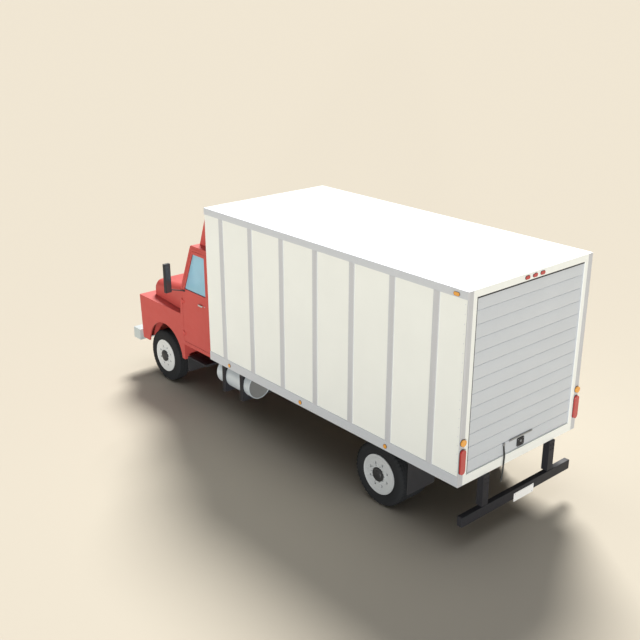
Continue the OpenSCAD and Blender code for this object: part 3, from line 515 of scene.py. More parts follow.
def makePiece(name, bm, finish, body="chassis", soften=0.0, smoothAngle=35):
    bmesh.ops.recalc_face_normals(bm, faces=bm.faces)
    mesh = bpy.data.meshes.new(name)
    bm.to_mesh(mesh)
    bm.free()
    mesh.shade_smooth()
    mesh.set_sharp_from_angle(angle=math.radians(smoothAngle))
    piece = bpy.data.objects.new(name, mesh)
    scene.collection.objects.link(piece)
    mesh.materials.append(finishes[finish])
    if soften:
        softenEdges(piece, soften)
    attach(piece, body)
    return piece


def paintPart(name, finish, test):
    # gives the faces that pass the test a second finish
    mesh = nodes[name].data
    mesh.materials.append(finishes[finish])
    for polygon in mesh.polygons:
        if test(polygon.center, polygon.normal):
            polygon.material_index = len(mesh.materials) - 1


# roll-up rear door
# the left and top seal is wide dark rubber that paints a shadow line; the right one is narrow and grey
rollDoor = {"slats": 13, "seam": 0.006, "seamDepth": 0.006, "rounding": 0.005, "boltRadius": 0.007,
            "boltPlaces": (-0.985, -0.34, 0.34, 0.985), "shadowLineSeal": 0.024, "farSeal": 0.006}


def slatOutline(front, back, z0, z1):
    # side of one slat, with both outer edges rounded towards the seams
    half, depth, soft = rollDoor["seam"] / 2, rollDoor["seamDepth"], rollDoor["rounding"]
    turns = [math.pi / 2 * k / 3 for k in range(4)]
    rounds = [(soft * (1 - math.sin(turn)), soft * (1 - math.cos(turn))) for turn in turns]
    # the first and last turn lie on the seam and on the face
    lower = [(front + across, z0 + half + up) for across, up in rounds]
    upper = [(front + across, z1 - half - up) for across, up in reversed(rounds)]
    return [(back, z0), (front + depth, z0), (front + depth, z0 + half), *lower, *upper,
            (front + depth, z1 - half), (front + depth, z1), (back, z1)]


def makeRollDoor():
    low, high, _ = boxOf("rear_door")
    front = low.x
    heights = [low.z + (high.z - low.z) * i / rollDoor["slats"] for i in range(rollDoor["slats"] + 1)]
    bm, bolts = bmesh.new(), bmesh.new()
    for z0, z1 in zip(heights, heights[1:]):
        addPrism(bm, slatOutline(front, high.x, z0, z1), low.y, high.y, 1)
        for y in rollDoor["boltPlaces"]:
            addDome(bolts, (front + 0.0005, y, (z0 + z1) / 2), backward, rollDoor["boltRadius"], 0.003)
    door = makePiece("roll_door_slats", bm, "slat", smoothAngle=40)
    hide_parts("rear_door")
    makePiece("slat_bolts", bolts, "slat")
    # broad dark rubber at the left and top, drawn wide to paint the shadow line under the header and beside the
    # left jamb; a narrow one at the right in the door's grey, so no dark line shows there
    near, far = rollDoor["shadowLineSeal"], rollDoor["farSeal"]
    seal, farSeal = bmesh.new(), bmesh.new()
    x0, x1, z0 = front - 0.008, front - 0.0005, low.z + 0.012
    addBox(seal, (x0, high.y - near, z0), (x1, high.y, high.z))
    addBox(seal, (x0, low.y, high.z - near), (x1, high.y - near, high.z))
    addBox(farSeal, (x0, low.y, z0), (x1, low.y + far, high.z - near))
    makePiece("roll_door_shadow_line_seal", seal, "flap")
    makePiece("roll_door_far_seal", farSeal, "slat")


makeRollDoor()
print("roll-up door done")


# rivets of the cargo box
riveting = {"radius": 0.0065, "height": 0.0028, "pitch": 0.115, "postInset": 0.014, "endInset": 0.035,
            "railInset": 0.02, "footInset": 0.022, "cornerPost": 0.15}


def makeRivets():
    low = boxOf("box_posts")[0]
    railLow, railHigh, _ = boxOf("box_rails")
    wallLow, wallHigh, _ = boxOf("box_side_walls")
    pitch, inset = riveting["pitch"], riveting["postInset"]
    places = placesOf("box_posts")
    # edges of the posts, read off the posts' own corners
    outer = sorted({round(p.x, 4) for p in places if p.y > 0})
    corner = riveting["cornerPost"]
    edges = [x for x in outer if x > low.x + corner]
    postFace = max(p.y for p in places if p.x > low.x + 2 * corner)

    def steps(start, end):
        count = int((end - start) / pitch)
        return [start + (i + 0.5) * (end - start) / count for i in range(count)]

    columns = [(x, postFace) for start, end in zip(edges[::2], edges[1::2]) for x in (start + inset, end - inset)]
    columns.append((wallLow.x + riveting["endInset"], wallHigh.y))
    spots = [(x, y, z) for x, y in columns for z in steps(wallLow.z, wallHigh.z)]
    inset = riveting["railInset"]
    rows = (wallLow.z - riveting["footInset"], railLow.z + inset, wallHigh.z + inset)
    spots += [(x, railHigh.y, z) for x in steps(railLow.x, railHigh.x) for z in rows]
    bm = bmesh.new()
    for _, side in bothSides():
        for x, y, z in spots:
            addDome(bm, (x, side * y, z), (0, side, 0), riveting["radius"], riveting["height"])
    makePiece("box_rivets", bm, "silver", smoothAngle=80)


makeRivets()


# lamps and number plate
lamps = {"gasket": 0.003, "gasketDepth": 0.007, "plateScrew": 0.007, "plateRim": 0.007}


def makeLampGaskets():
    bm = bmesh.new()
    # each lamp's outline at its foot, grown a little
    for verts in islandsOf(nodes["red_lamps"].data) + islandsOf(nodes["amber_lamps"].data):
        low, high = (Vector([pick(v[k] for v in verts) for k in range(3)]) for pick in (min, max))
        middle, span = (low + high) / 2, high - low
        deep = min(range(3), key=lambda k: span[k])
        if deep == 2:
            continue
        out = 1 if deep == 1 and middle.y > 0 else -1
        foot = low[deep] if out > 0 else high[deep]
        flat = [k for k in range(3) if k != deep]
        half = [span[k] / 2 + lamps["gasket"] for k in flat]
        small = min(half)
        ring = [[middle[k] + turn * small + math.copysign(reach - small, turn)
                 for k, reach, turn in zip(flat, half, turns)] for turns in around(32)]
        addPrism(bm, ring, foot, foot + out * lamps["gasketDepth"], deep)
    makePiece("lamp_gaskets", bm, "flap", smoothAngle=30)


def makePlateTrim():
    low, high, _ = boxOf("licence_plate")
    bm = bmesh.new()
    for y in (low.y + 0.03, high.y - 0.03):
        for z in (low.z + 0.018, high.z - 0.018):
            addDome(bm, (low.x + 0.0005, y, z), backward, lamps["plateScrew"], 0.003, 10)
    makePiece("plate_screws", bm, "steel")
    rim = bmesh.new()
    x, wide = low.x - 0.0015, lamps["plateRim"]
    for y0, z0, y1, z1 in ((low.y, low.z, high.y, low.z + wide), (low.y, high.z - wide, high.y, high.z),
                           (low.y, low.z, low.y + wide, high.z), (high.y - wide, low.z, high.y, high.z)):
        addBox(rim, (x, y0, z0), (x + 0.004, y1, z1))
    makePiece("plate_rim", rim, "plate", soften=0.001)


makeLampGaskets()
makePlateTrim()
print("lamps and plate done")


# latch and pull strap
latch = {"screw": 0.007, "nut": 0.009, "nutPlaces": (-0.2, 0.2), "nutHeight": 1.261}
strap = {
    "width": 0.028,
    "thickness": 0.008,
    "cordDiameter": 0.024,
    "stitchRows": 3,
    "stitches": 7,
    "stitchPitch": 0.003,
    "route": [(0.007, 0.340, 1.232), (0.006, 0.340, 1.205), (0.002, 0.340, 1.175), (-0.005, 0.341, 1.145),
              (-0.011, 0.342, 1.115), (-0.014, 0.343, 1.085), (-0.015, 0.345, 1.050), (-0.015, 0.347, 1.010),
              (-0.015, 0.350, 0.970), (-0.016, 0.353, 0.930), (-0.017, 0.357, 0.890), (-0.018, 0.362, 0.850),
              (-0.019, 0.368, 0.810), (-0.020, 0.375, 0.772), (-0.021, 0.384, 0.735)],
}


def makeStrap():
    # the route's x is measured from the rear frame's face
    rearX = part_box("rear_frame")[0][0]
    route = [Vector((rearX + x, y, z)) for x, y, z in strap["route"]]
    half, thick = strap["width"] / 2, strap["thickness"] / 2
    section = [(-1, -0.6), (-0.94, -1), (0.94, -1), (1, -0.6), (1, 0.6), (0.94, 1), (-0.94, 1), (-1, 0.6)]
    bm = bmesh.new()
    rings = []
    for i, point in enumerate(route):
        ahead = (route[min(i + 1, len(route) - 1)] - route[max(i - 1, 0)]).normalized()
        across = Vector((0, 1, 0))
        across = (across - ahead * across.dot(ahead)).normalized()
        out = ahead.cross(across)
        rings.append([bm.verts.new(point + across * half * a + out * thick * b) for a, b in section])
    skin(bm, rings)
    piece = makePiece("pull_strap_webbing", bm, "strap", smoothAngle=50)
    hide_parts("pull_strap")
    stitches = bmesh.new()
    for row in range(strap["stitchRows"]):
        start = route[0] + (route[1] - route[0]) * (0.25 + 0.25 * row)
        x = start.x - thick
        for k in range(strap["stitches"]):
            y = start.y - 0.009 + strap["stitchPitch"] * k
            addBox(stitches, (x - 0.0006, y, start.z - 0.0006), (x + 0.0004, y + 0.002, start.z + 0.0006))
    makePiece("strap_stitches", stitches, "steel")


def makeLatch():
    low, _, middle = boxOf("latch_plate")
    x, y, z = low.x, middle.y, middle.z
    bm = bmesh.new()
    addLathe(bm, [(0.019, 0), (0.018, 0.004), (0.013, 0.005), (0.013, 0.010), (0.011, 0.012), (0, 0.012)],
             (x + 0.0005, y, z + 0.012), backward, 24)
    for a in (-0.052, 0.052):
        for b in (-0.042, 0.042):
            addDome(bm, (x + 0.0005, y + a, z + b), backward, latch["screw"], 0.003, 10)
    nutX = boxOf("door_hardware")[0].x + 0.0025
    for place in latch["nutPlaces"]:
        addHexNut(bm, (nutX, place, latch["nutHeight"]), backward, latch["nut"], 0.006)
    makePiece("latch_barrel_and_screws", bm, "steel")
    keySlot = bmesh.new()
    addBox(keySlot, (x - 0.0122, -0.012, z + 0.004), (x - 0.0113, -0.008, z + 0.020))
    makePiece("latch_key_slot", keySlot, "black")


makeStrap()
makeLatch()
print("strap and latch done")


# tyres
tyreForm = {"segments": 144, "grooves": (-0.066, -0.022, 0.022, 0.066), "grooveHalf": 0.005, "grooveDepth": 0.011,
            "lugEvery": 3, "lugDepth": 0.009, "narrowest": 0.2}


def tyreProfile(bead, radius, half):
    # half of a cross section from the bead to the middle of the tread: (radius, across, is lug)
    wall = [(0.0012, 0.030), (0.008, 0.016), (0.018, 0.009), (0.030, 0.007), (0.036, 0.0075), (0.039, 0.005),
            (0.052, 0.0025), (0.075, 0.0), (0.078, 0.0015), (0.095, 0.001)]
    crown = [(0.060, 0.001), (0.057, 0.003), (0.045, 0.004)]
    shoulder = [(0.028, 0.010), (0.012, 0.021), (0.003, 0.034), (0.0005, 0.044)]
    return ([(bead + rise, half - inward, False) for rise, inward in wall]
            + [(radius - drop, half - inward, False) for drop, inward in crown]
            + [(radius - drop, half - inward, True) for drop, inward in shoulder])


def addTyre(bm, centre, bead, radius, half):
    depth, wide, steps = tyreForm["grooveDepth"], tyreForm["grooveHalf"], tyreForm["segments"]
    side = tyreProfile(bead, radius, half)
    tread = []
    for y in reversed(tyreForm["grooves"]):
        tread += [(radius, y + wide + 0.001, True), (radius - depth, y + wide - 0.002, False),
                  (radius - depth, y - wide + 0.002, False), (radius, y - wide - 0.001, True)]
    profile = side + tread + [(r, -y, lug) for r, y, lug in reversed(side)]
    every = tyreForm["lugEvery"]
    rings = []
    for i, (c, s) in enumerate(around(steps)):
        ring = []
        for r, y, lug in profile:
            # shoulder blocks stop at the outer grooves and step round the tyre
            stagger = 0 if y > 0 else every // 2
            cut = lug and abs(y) > 0.05 and (i + stagger) % every == 0
            here = r - (tyreForm["lugDepth"] if cut else 0)
            ring.append(bm.verts.new((centre.x + here * c, centre.y + y, centre.z + here * s)))
        rings.append(ring)
    skin(bm, rings, closed=True)


def makeTyres():
    for name in pair("tyre_front") + pair("tyres_rear"):
        low, high, middle = boxOf(name)
        bm = bmesh.new()
        for group in islandsOf(nodes[name].data):
            y0, y1 = min(v[1] for v in group), max(v[1] for v in group)
            if y1 - y0 > tyreForm["narrowest"]:
                bead = min(math.hypot(v[0] - middle.x, v[2] - middle.z) for v in group)
                centre = Vector((middle.x, (y0 + y1) / 2, middle.z))
                addTyre(bm, centre, bead, (high.z - low.z) / 2, (y1 - y0) / 2)
        piece = makePiece(name + "_tread", bm, "tyre", bodyOfNode(name), smoothAngle=28)
        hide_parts(name)


makeTyres()
print("tyres done")


# wheels
wheelTrim = {
    "discDepth": 0.020,
    "nuts": 10,
    "nutCircle": 0.124,
    "nutRadius": 0.0125,
    "nutHeight": 0.017,
    "hubRadius": 0.1015,
    "hubBolts": 8,
    "hubBoltCircle": 0.083,
    "hubBolt": 0.007,
    "handHoles": 8,
    "handHoleCircle": 0.172,
    "valveCircle": 0.205,
}
wheelTurnings = {
    "cap": [(0.099, -0.004), (0.099, 0.0005), (0.094, 0.003), (0.070, 0.004), (0.066, 0.010), (0.060, 0.013),
            (0, 0.013)],
    "lip": [(-0.012, 0.0), (-0.010, 0.0042), (-0.003, 0.0052), (0.004, 0.0035), (0.0055, -0.002),
            (0.003, -0.008), (-0.001, -0.008), (-0.004, -0.001)],
    "step": [(0.2435, -0.001), (0.2425, 0.0022), (0.2355, 0.0028), (0.2345, -0.001)],
    "seat": [(0.148, -0.001), (0.147, 0.0030), (0.104, 0.0035), (0.1035, -0.001)],
    "handHole": [(0.0265, -0.001), (0.0258, 0.0014), (0.0215, 0.0022), (0.0200, 0.0008), (0.0200, -0.004),
                 (0.0220, -0.004)],
    "drum": [(0.145, -0.0155), (0.145, -0.030), (0.214, -0.030), (0.214, -0.0155)],
}


def makeWheelTrim(rim, tyre):
    low, high, middle = boxOf(rim)
    side = 1 if middle.y > 0 else -1
    out = (0, side, 0)
    tip = high.y if side > 0 else low.y
    hub = boxOf(tyre)[2]
    hub.y = tip
    # middle of the disc's outer face
    disc = hub - Vector((0, side * wheelTrim["discDepth"], 0))
    body, rear = bodyOfNode(rim), "rear" in rim
    # the rear wheels take the darker enamel, which is painted shade from the box above
    finish = "rearRim" if rear else "rim"

    def away(c):
        return math.hypot(c.x - hub.x, c.z - hub.z)

    def circle(centre, count, radius, offset=0.0):
        return [centre + Vector((c * radius, 0, s * radius)) for c, s in around(count, offset)]

    paintPart(rim, "hub", lambda c, n: away(c) < wheelTrim["hubRadius"] and (c.y - disc.y) * side > 0.0005)
    nuts = bmesh.new()
    for spot in circle(disc, wheelTrim["nuts"], wheelTrim["nutCircle"]):
        addHexNut(nuts, spot, out, wheelTrim["nutRadius"], wheelTrim["nutHeight"])
    stem = disc + Vector((wheelTrim["valveCircle"], 0, 0))
    addRod(nuts, stem, stem + Vector((0.012, side * 0.018, 0)), 0.004, 10)
    makePiece(rim + "_nuts", nuts, finish, body)
    cap = bmesh.new()
    addLathe(cap, wheelTurnings["cap"], hub, out, 48)
    face = hub + Vector((0, side * 0.0035, 0))
    for spot in circle(face, wheelTrim["hubBolts"], wheelTrim["hubBoltCircle"], 0.5):
        addHexNut(cap, spot, out, wheelTrim["hubBolt"], 0.006)
    makePiece(rim + "_hub_cap", cap, "hub", body)
    # rolled lip, then the disc's pressed step and nut seat
    pressing = bmesh.new()
    radius = max(away(p) for p in placesOf(rim))
    lip = [(radius + grow, along) for grow, along in wheelTurnings["lip"]]
    addLathe(pressing, lip, disc, out, 96, closed=True)
    for part in ("step", "seat"):
        addLathe(pressing, wheelTurnings[part], disc, out, 72, closed=True)
    makePiece(rim + "_pressing", pressing, finish, body, smoothAngle=50)
    edges = bmesh.new()
    for spot in circle(disc, wheelTrim["handHoles"], wheelTrim["handHoleCircle"], 0.5):
        addLathe(edges, wheelTurnings["handHole"], spot, out, 24, closed=True)
    makePiece(rim + "_hand_holes", edges, finish, body, smoothAngle=50)
    # face of the brake drum, seen through the hand holes
    if rear:
        drum = bmesh.new()
        addLathe(drum, wheelTurnings["drum"], disc, out, 64, closed=True)
        makePiece(rim + "_brake_drum", drum, "drum", body)
    else:
        paintPart(rim, "drum", lambda c, n: away(c) < 0.20 and -0.009 < (c.y - disc.y) * side < -0.005)


for rim, tyre in (("rim_front_", "tyre_front_"), ("rims_rear_", "tyres_rear_")):
    for word, _ in bothSides():
        makeWheelTrim(rim + word, tyre + word)
print("wheels done")


# glass, gaskets and wipers
glazing = {"lip": 0.005, "proud": 0.004, "screenLip": 0.014, "rearLip": 0.012, "wiperPlaces": (-0.62, 0.12),
           "wiperReach": 0.28, "wiperBlade": 0.26, "wiperArm": 0.006, "wiperRubber": 0.005}


def cornersOf(places, deep):
    # corners of a flat convex outline, in order round its middle
    flat = [k for k in range(3) if k != deep]
    spots = {}
    for p in places:
        spots.setdefault((round(p[flat[0]], 3), round(p[flat[1]], 3)), p)
    middle = [sum(s[k] for s in spots) / len(spots) for k in range(2)]
    return [Vector(spots[s]) for s in sorted(spots, key=lambda s: math.atan2(s[1] - middle[1], s[0] - middle[0]))]


def addGasket(bm, corners, normal, lip, proud):
    # a mitred frame that covers the edge of a flat pane by its lip
    normal = Vector(normal).normalized()
    middle = sum(corners, Vector()) / len(corners)
    inner = []
    for before, corner, after in zip(corners[-1:] + corners[:-1], corners, corners[1:] + corners[:1]):
        sideA, sideB = (edge.cross(normal).normalized() for edge in (corner - before, after - corner))
        if sideA.dot(corner - middle) < 0:
            sideA, sideB = -sideA, -sideB
        mitre = (sideA + sideB).normalized()
        inner.append(corner - mitre * lip / max(0.3, mitre.dot(sideA)))
    skin(bm, [[bm.verts.new(p + normal * rise) for p in loop] for loop, rise in
              ((inner, 0.0), (corners, 0.0), (corners, proud), (inner, proud))], closed=True)


def makeScreenGaskets():
    # the windscreen leans, so it is the deeper of the two panes
    rear, screen = sorted(islandsOf(nodes["cab_glass"].data),
                          key=lambda pane: max(p[0] for p in pane) - min(p[0] for p in pane))
    # its outer sheet has the foremost corners at each height
    front = []
    for z in (min(p[2] for p in screen), max(p[2] for p in screen)):
        row = [p for p in screen if abs(p[2] - z) < 0.012]
        far = max(p[0] for p in row)
        front += [Vector(p) for p in row if abs(p[0] - far) < 0.002]
    rise = front[-1] - front[0]
    rise = Vector((rise.x, 0, rise.z)).normalized()
    outward = Vector((rise.z, 0, -rise.x))
    bm = bmesh.new()
    addGasket(bm, cornersOf(front, 0), outward, glazing["screenLip"], 0.016)
    lowX = min(p[0] for p in rear)
    addGasket(bm, cornersOf([p for p in rear if p[0] < lowX + 0.001], 0), backward, glazing["rearLip"], 0.013)
    makePiece("screen_gaskets", bm, "flap", soften=0.002)
    return front[0], rise, outward


def makeWipers(corner, rise, outward):
    foot = corner + rise * 0.035 + outward * 0.012
    blade = foot + rise * 0.045

    def spot(base, out, y):
        return base.x + outward.x * out, y, base.z + outward.z * out

    bm = bmesh.new()
    for start in glazing["wiperPlaces"]:
        end, half = start + glazing["wiperReach"], glazing["wiperBlade"]
        addRod(bm, spot(foot, 0, start), spot(foot, 0.006, start), 0.016, 20)
        addTube(bm, [spot(foot, 0.006, start), spot(blade, 0.020, start + 0.10), spot(blade, 0.012, end)],
                glazing["wiperArm"])
        addTube(bm, [spot(blade, 0.004, end - half), spot(blade, 0.007, end), spot(blade, 0.004, end + half)],
                glazing["wiperRubber"])
    makePiece("screen_wipers", bm, "plastic")


def makeDoorGasket(word, side):
    pane = placesOf("door_glass_" + word)
    face = max(p.y * side for p in pane)
    bm = bmesh.new()
    corners = cornersOf([tuple(p) for p in pane if abs(p.y * side - face) < 0.001], 1)
    addGasket(bm, corners, (0, side, 0), glazing["lip"], glazing["proud"])
    makePiece("door_gasket_" + word, bm, "flap", "door_" + word, 0.002)


screenLean = makeScreenGaskets()
for word, side in bothSides():
    makeDoorGasket(word, side)
makeWipers(*screenLean)
print("gaskets and wipers done")


# doors, mirrors and handles
doorTrim = {"face": 1.12, "leaf": 0.045, "lockRadius": 0.012, "lockHeight": 1.768, "handleBand": (1.74, 1.80),
            "winderHeight": 1.46, "mirrorHead": 0.5, "mirrorInset": 0.012}


def makeDoorTrim(word, side):
    leaf, face = "door_" + word, doorTrim["face"]
    x = boxOf(leaf)[0].x
    bottom, top = doorTrim["handleBand"]
    paintPart(leaf, "chrome", lambda c, n: c.y * side > face + 0.0005 and bottom < c.z < top)
    bm = bmesh.new()
    radius = doorTrim["lockRadius"]
    addLathe(bm, [(radius, 0), (radius, 0.004), (0.009, 0.006), (0.004, 0.006), (0, 0.004)],
             (x + 0.085, side * (face - 0.0002), doorTrim["lockHeight"]), (0, side, 0), 20)
    makePiece("door_lock_" + word, bm, "chrome", leaf)
    # armrest and window winder on the inside
    inner = side * (face - doorTrim["leaf"])
    bm = bmesh.new()
    addPrism(bm, [(x + 0.12, 1.52), (x + 0.50, 1.52), (x + 0.54, 1.56), (x + 0.50, 1.585), (x + 0.12, 1.585)],
             *sorted((inner + side * 0.001, inner - side * 0.0245)), 1)
    winder, z = x + 0.60, doorTrim["winderHeight"]
    addRod(bm, (winder, inner + side * 0.001, z), (winder, inner - side * 0.02, z), 0.014)
    addRod(bm, (winder, inner - side * 0.016, z), (winder - 0.06, inner - side * 0.020, z - 0.04), 0.007)
    makePiece("door_armrest_" + word, bm, "dash", leaf, 0.004)


def makeMirrorTrim(word, side):
    mirror, leaf, inset = "mirror_" + word, "door_" + word, doorTrim["mirrorInset"]
    top = boxOf(mirror)[1].z
    bottom = top - doorTrim["mirrorHead"]
    head = [p for p in placesOf(mirror) if p.z > top - 0.2]
    y0, y1 = min(p.y * side for p in head) + inset, max(p.y * side for p in head) - inset
    back, front = min(p.x for p in head), max(p.x for p in head)
    bm = bmesh.new()
    addPrism(bm, roundedOutline(side * y0, side * y1, bottom + inset, top - inset, 0.014),
             back - 0.0025, back + 0.002, 0)
    makePiece("mirror_glass_" + word, bm, "mirror", leaf)
    bm = bmesh.new()
    for z in (bottom + 0.05, top - 0.05):
        addDome(bm, (front - 0.0005, side * (y0 + y1) / 2, z), forward, 0.008, 0.004, 10)
    makePiece("mirror_screws_" + word, bm, "steel", leaf)


for word, side in bothSides():
    makeDoorTrim(word, side)
    makeMirrorTrim(word, side)
print("doors and mirrors done")


# front end
frontEnd = {"bezelWidth": 0.014, "indicatorRadius": 0.042, "indicatorPlace": 1.022, "plateHalf": 0.16,
            "bumperBolt": 0.016, "bumperBolts": (-0.95, -0.52, 0.52, 0.95)}
# inner arch over each front wheel, clear of the steered tyre; the angles are degrees up from straight ahead
archLiner = {"radius": 0.63, "sheet": 0.003, "rise": 0.089, "from": 7, "to": 118, "steps": 18,
             "inner": 0.018, "outer": 0.032}


def makeHeadlights():
    low, high, middle = boxOf("headlights")
    radius, small = (high.z - low.z) / 2, frontEnd["indicatorRadius"]
    wide = radius + frontEnd["bezelWidth"]
    bezels, bowls, bases, lenses = (bmesh.new() for _ in range(4))
    for _, side in bothSides():
        spot = (high.x, side * (high.y - radius), middle.z)
        addLathe(bezels, [(radius - 0.006, -0.001), (radius - 0.005, 0.008), (radius + 0.004, 0.011),
                          (wide, 0.006), (wide + 0.002, -0.012), (radius + 0.001, -0.012)],
                 spot, forward, 64, closed=True)
        addLathe(bowls, [(0.012, -0.064), (0.040, -0.060), (0.070, -0.036), (0.086, -0.006), (0.088, -0.006),
                         (0.072, -0.038), (0.042, -0.064), (0.012, -0.068)], spot, forward, 48, closed=True)
        addLathe(bowls, [(0, -0.020), (0.010, -0.024), (0.010, -0.064), (0, -0.064)], spot, forward, 20)
        spot = (high.x - 0.006, side * frontEnd["indicatorPlace"], middle.z)
        addLathe(bases, [(small + 0.006, -0.014), (small + 0.006, 0.004), (small, 0.008), (small - 0.002, 0.003),
                         (0, 0.003)], spot, forward, 40)
        addLathe(lenses, [(small - 0.002, 0.002), (small - 0.006, 0.013), (0.020, 0.019), (0, 0.020)],
                 spot, forward, 40)
    makePiece("headlight_bezels", bezels, "chrome")
    makePiece("headlight_bowls", bowls, "chrome")
    makePiece("indicator_bases", bases, "chrome")
    makePiece("indicator_lenses", lenses, "amberLens")


def makeBumperTrim():
    low, high, middle = boxOf("front_bumper")
    bm = bmesh.new()
    for y in frontEnd["bumperBolts"]:
        addDome(bm, (high.x - 0.0005, y, middle.z), forward, frontEnd["bumperBolt"], 0.007, 16)
    makePiece("front_bumper_bolts", bm, "steel")
    # blank front number plate
    half = frontEnd["plateHalf"]
    bm = bmesh.new()
    addPrism(bm, roundedOutline(-half, half, low.z + 0.045, high.z - 0.045, 0.012),
             high.x - 0.001, high.x + 0.004, 0)
    makePiece("front_plate", bm, "plate", soften=0.001)


def makeArchLiner(word, side):
    centre = Vector(joints["roll_front_left"]["pos_m"])
    z = centre.z + archLiner["rise"]
    low, high, _ = boxOf("wing_" + word)
    inside, outside = sorted((abs(low.y), abs(high.y)))
    steps, start, end = archLiner["steps"], archLiner["from"], archLiner["to"]
    arc = [math.radians(start + (end - start) * k / steps) for k in range(steps + 1)]
    outer = archLiner["radius"] + archLiner["sheet"]
    turns = [(archLiner["radius"], a) for a in arc] + [(outer, a) for a in reversed(arc)]
    bm = bmesh.new()
    addPrism(bm, [(centre.x + r * math.cos(a), z + r * math.sin(a)) for r, a in turns],
             side * (inside + archLiner["inner"]), side * (outside - archLiner["outer"]), 1)
    makePiece("arch_liner_" + word, bm, "red")


makeHeadlights()
makeBumperTrim()
for word, side in bothSides():
    makeArchLiner(word, side)


# engine bay
engineBay = {"coverPlaces": (-0.155, 0.155), "coverRibs": 9, "ribPitch": 0.085, "filterRadius": 0.165,
             "radiatorHalf": 0.40, "radiatorFins": 46, "fanHeight": 1.13, "fanBlades": 6, "bladeSheet": 0.003,
             "hoseRadius": 0.024}


def makeEngineTop(low, high, middle):
    top = high.z
    bm = bmesh.new()
    for y in engineBay["coverPlaces"]:
        addPrism(bm, [(y - 0.075, top - 0.002), (y + 0.075, top - 0.002), (y + 0.070, top + 0.055),
                      (y + 0.048, top + 0.082), (y - 0.048, top + 0.082), (y - 0.070, top + 0.055)],
                 low.x + 0.10, high.x - 0.10, 0)
        for i in range(engineBay["coverRibs"]):
            x = low.x + 0.16 + i * engineBay["ribPitch"]
            addBox(bm, (x, y - 0.045, top + 0.080), (x + 0.02, y + 0.045, top + 0.090))
    makePiece("rocker_covers", bm, "engine", soften=0.006)
    bm = bmesh.new()
    r = engineBay["filterRadius"]
    addLathe(bm, [(0, 0), (0.07, 0), (0.07, 0.02), (r - 0.015, 0.025), (r, 0.035), (r, 0.045), (r - 0.008, 0.05),
                  (r - 0.008, 0.095), (r, 0.10), (r, 0.112), (r - 0.02, 0.122), (0.05, 0.128), (0, 0.128)],
             (middle.x, 0, top + 0.03), upward, 56)
    addHexNut(bm, (middle.x, 0, top + 0.155), upward, 0.012, 0.012)
    makePiece("air_filter", bm, "black")


def makeRadiator(high):
    # frame, fins and filler cap between the engine and the grille
    back, front, half = high.x + 0.11, high.x + 0.165, engineBay["radiatorHalf"]
    bm = bmesh.new()
    for z0, z1 in ((0.935, 0.975), (1.33, 1.385)):
        addBox(bm, (back, -half, z0), (front, half, z1))
    for y in (-half, half - 0.025):
        addBox(bm, (back, y, 0.97), (front, y + 0.025, 1.335))
    fins = engineBay["radiatorFins"]
    for i in range(fins):
        y = (half - 0.03) * (2 * i / (fins - 1) - 1)
        addBox(bm, (back + 0.008, y - 0.003, 0.97), (front - 0.008, y + 0.003, 1.335))
    addLathe(bm, [(0.028, 0), (0.028, 0.02), (0.022, 0.026), (0, 0.026)], (back + 0.027, 0.30, 1.384), upward, 20)
    makePiece("radiator", bm, "black")


def makeFan(high):
    bm = bmesh.new()
    x = high.x - 0.001
    hub = Vector((high.x + 0.07, 0, engineBay["fanHeight"]))
    addRod(bm, (x, 0, hub.z), hub, 0.045, 24)
    # a blade's corners: distance from the axis, half width, and which edge
    blade = ((0.03, 0.03, -1), (0.03, 0.03, 1), (0.185, 0.055, 1), (0.185, 0.055, -1))
    for c, s in around(engineBay["fanBlades"]):
        tangent, radial = Vector((0, -s, c)), Vector((0, c, s))
        corners = [hub + radial * distance + tangent * edge * width + Vector((edge * 0.012 - 0.012, 0, 0))
                   for distance, width, edge in blade]
        skin(bm, [[bm.verts.new(corner + Vector((deep, 0, 0))) for corner in corners]
                  for deep in (0, engineBay["bladeSheet"])])
    for y, z, radius in ((-0.18, 0.88, 0.07), (0.17, 0.98, 0.05)):
        addRod(bm, (x, y, z), (high.x + 0.04, y, z), radius, 32)
    makePiece("fan_and_pulleys", bm, "steel")
    bm = bmesh.new()
    addTube(bm, [(high.x - 0.05, 0.05, high.z + 0.02), (high.x + 0.01, 0.05, high.z + 0.035),
                 (high.x + 0.06, 0.06, high.z + 0.01), (high.x + 0.10, 0.08, 1.37), (high.x + 0.13, 0.09, 1.355)],
            engineBay["hoseRadius"], 14)
    makePiece("radiator_hose", bm, "flap", smoothAngle=60)


engineBox = boxOf("engine")
makeEngineTop(*engineBox)
makeRadiator(engineBox[1])
makeFan(engineBox[1])
print("front end and engine bay done")


# bench seat
seatPads = {"shrink": 0.014, "voxel": 0.02, "pressure": 4.0, "cap": 0.012, "frames": 20, "piping": 0.007,
            "channels": 7, "channelHalf": 0.024, "channelDepth": 0.007, "fill": 0.7}


def applyModifiers(piece):
    made = bpy.data.meshes.new_from_object(piece.evaluated_get(bpy.context.evaluated_depsgraph_get()))
    old = piece.data
    piece.modifiers.clear()
    piece.data = made
    if not made.materials:
        made.materials.append(old.materials[0])


def inflate(pad):
    cloth = pad.modifiers.new("cloth", "CLOTH")
    cloth.settings.use_pressure = True
    cloth.settings.uniform_pressure_force = seatPads["pressure"]
    cloth.settings.effector_weights.gravity = 0
    cloth.settings.quality = 5
    cloth.point_cache.frame_start = 1
    cloth.point_cache.frame_end = seatPads["frames"]
    for number in range(1, seatPads["frames"] + 1):
        scene.frame_set(number)
    applyModifiers(pad)
    scene.frame_set(1)


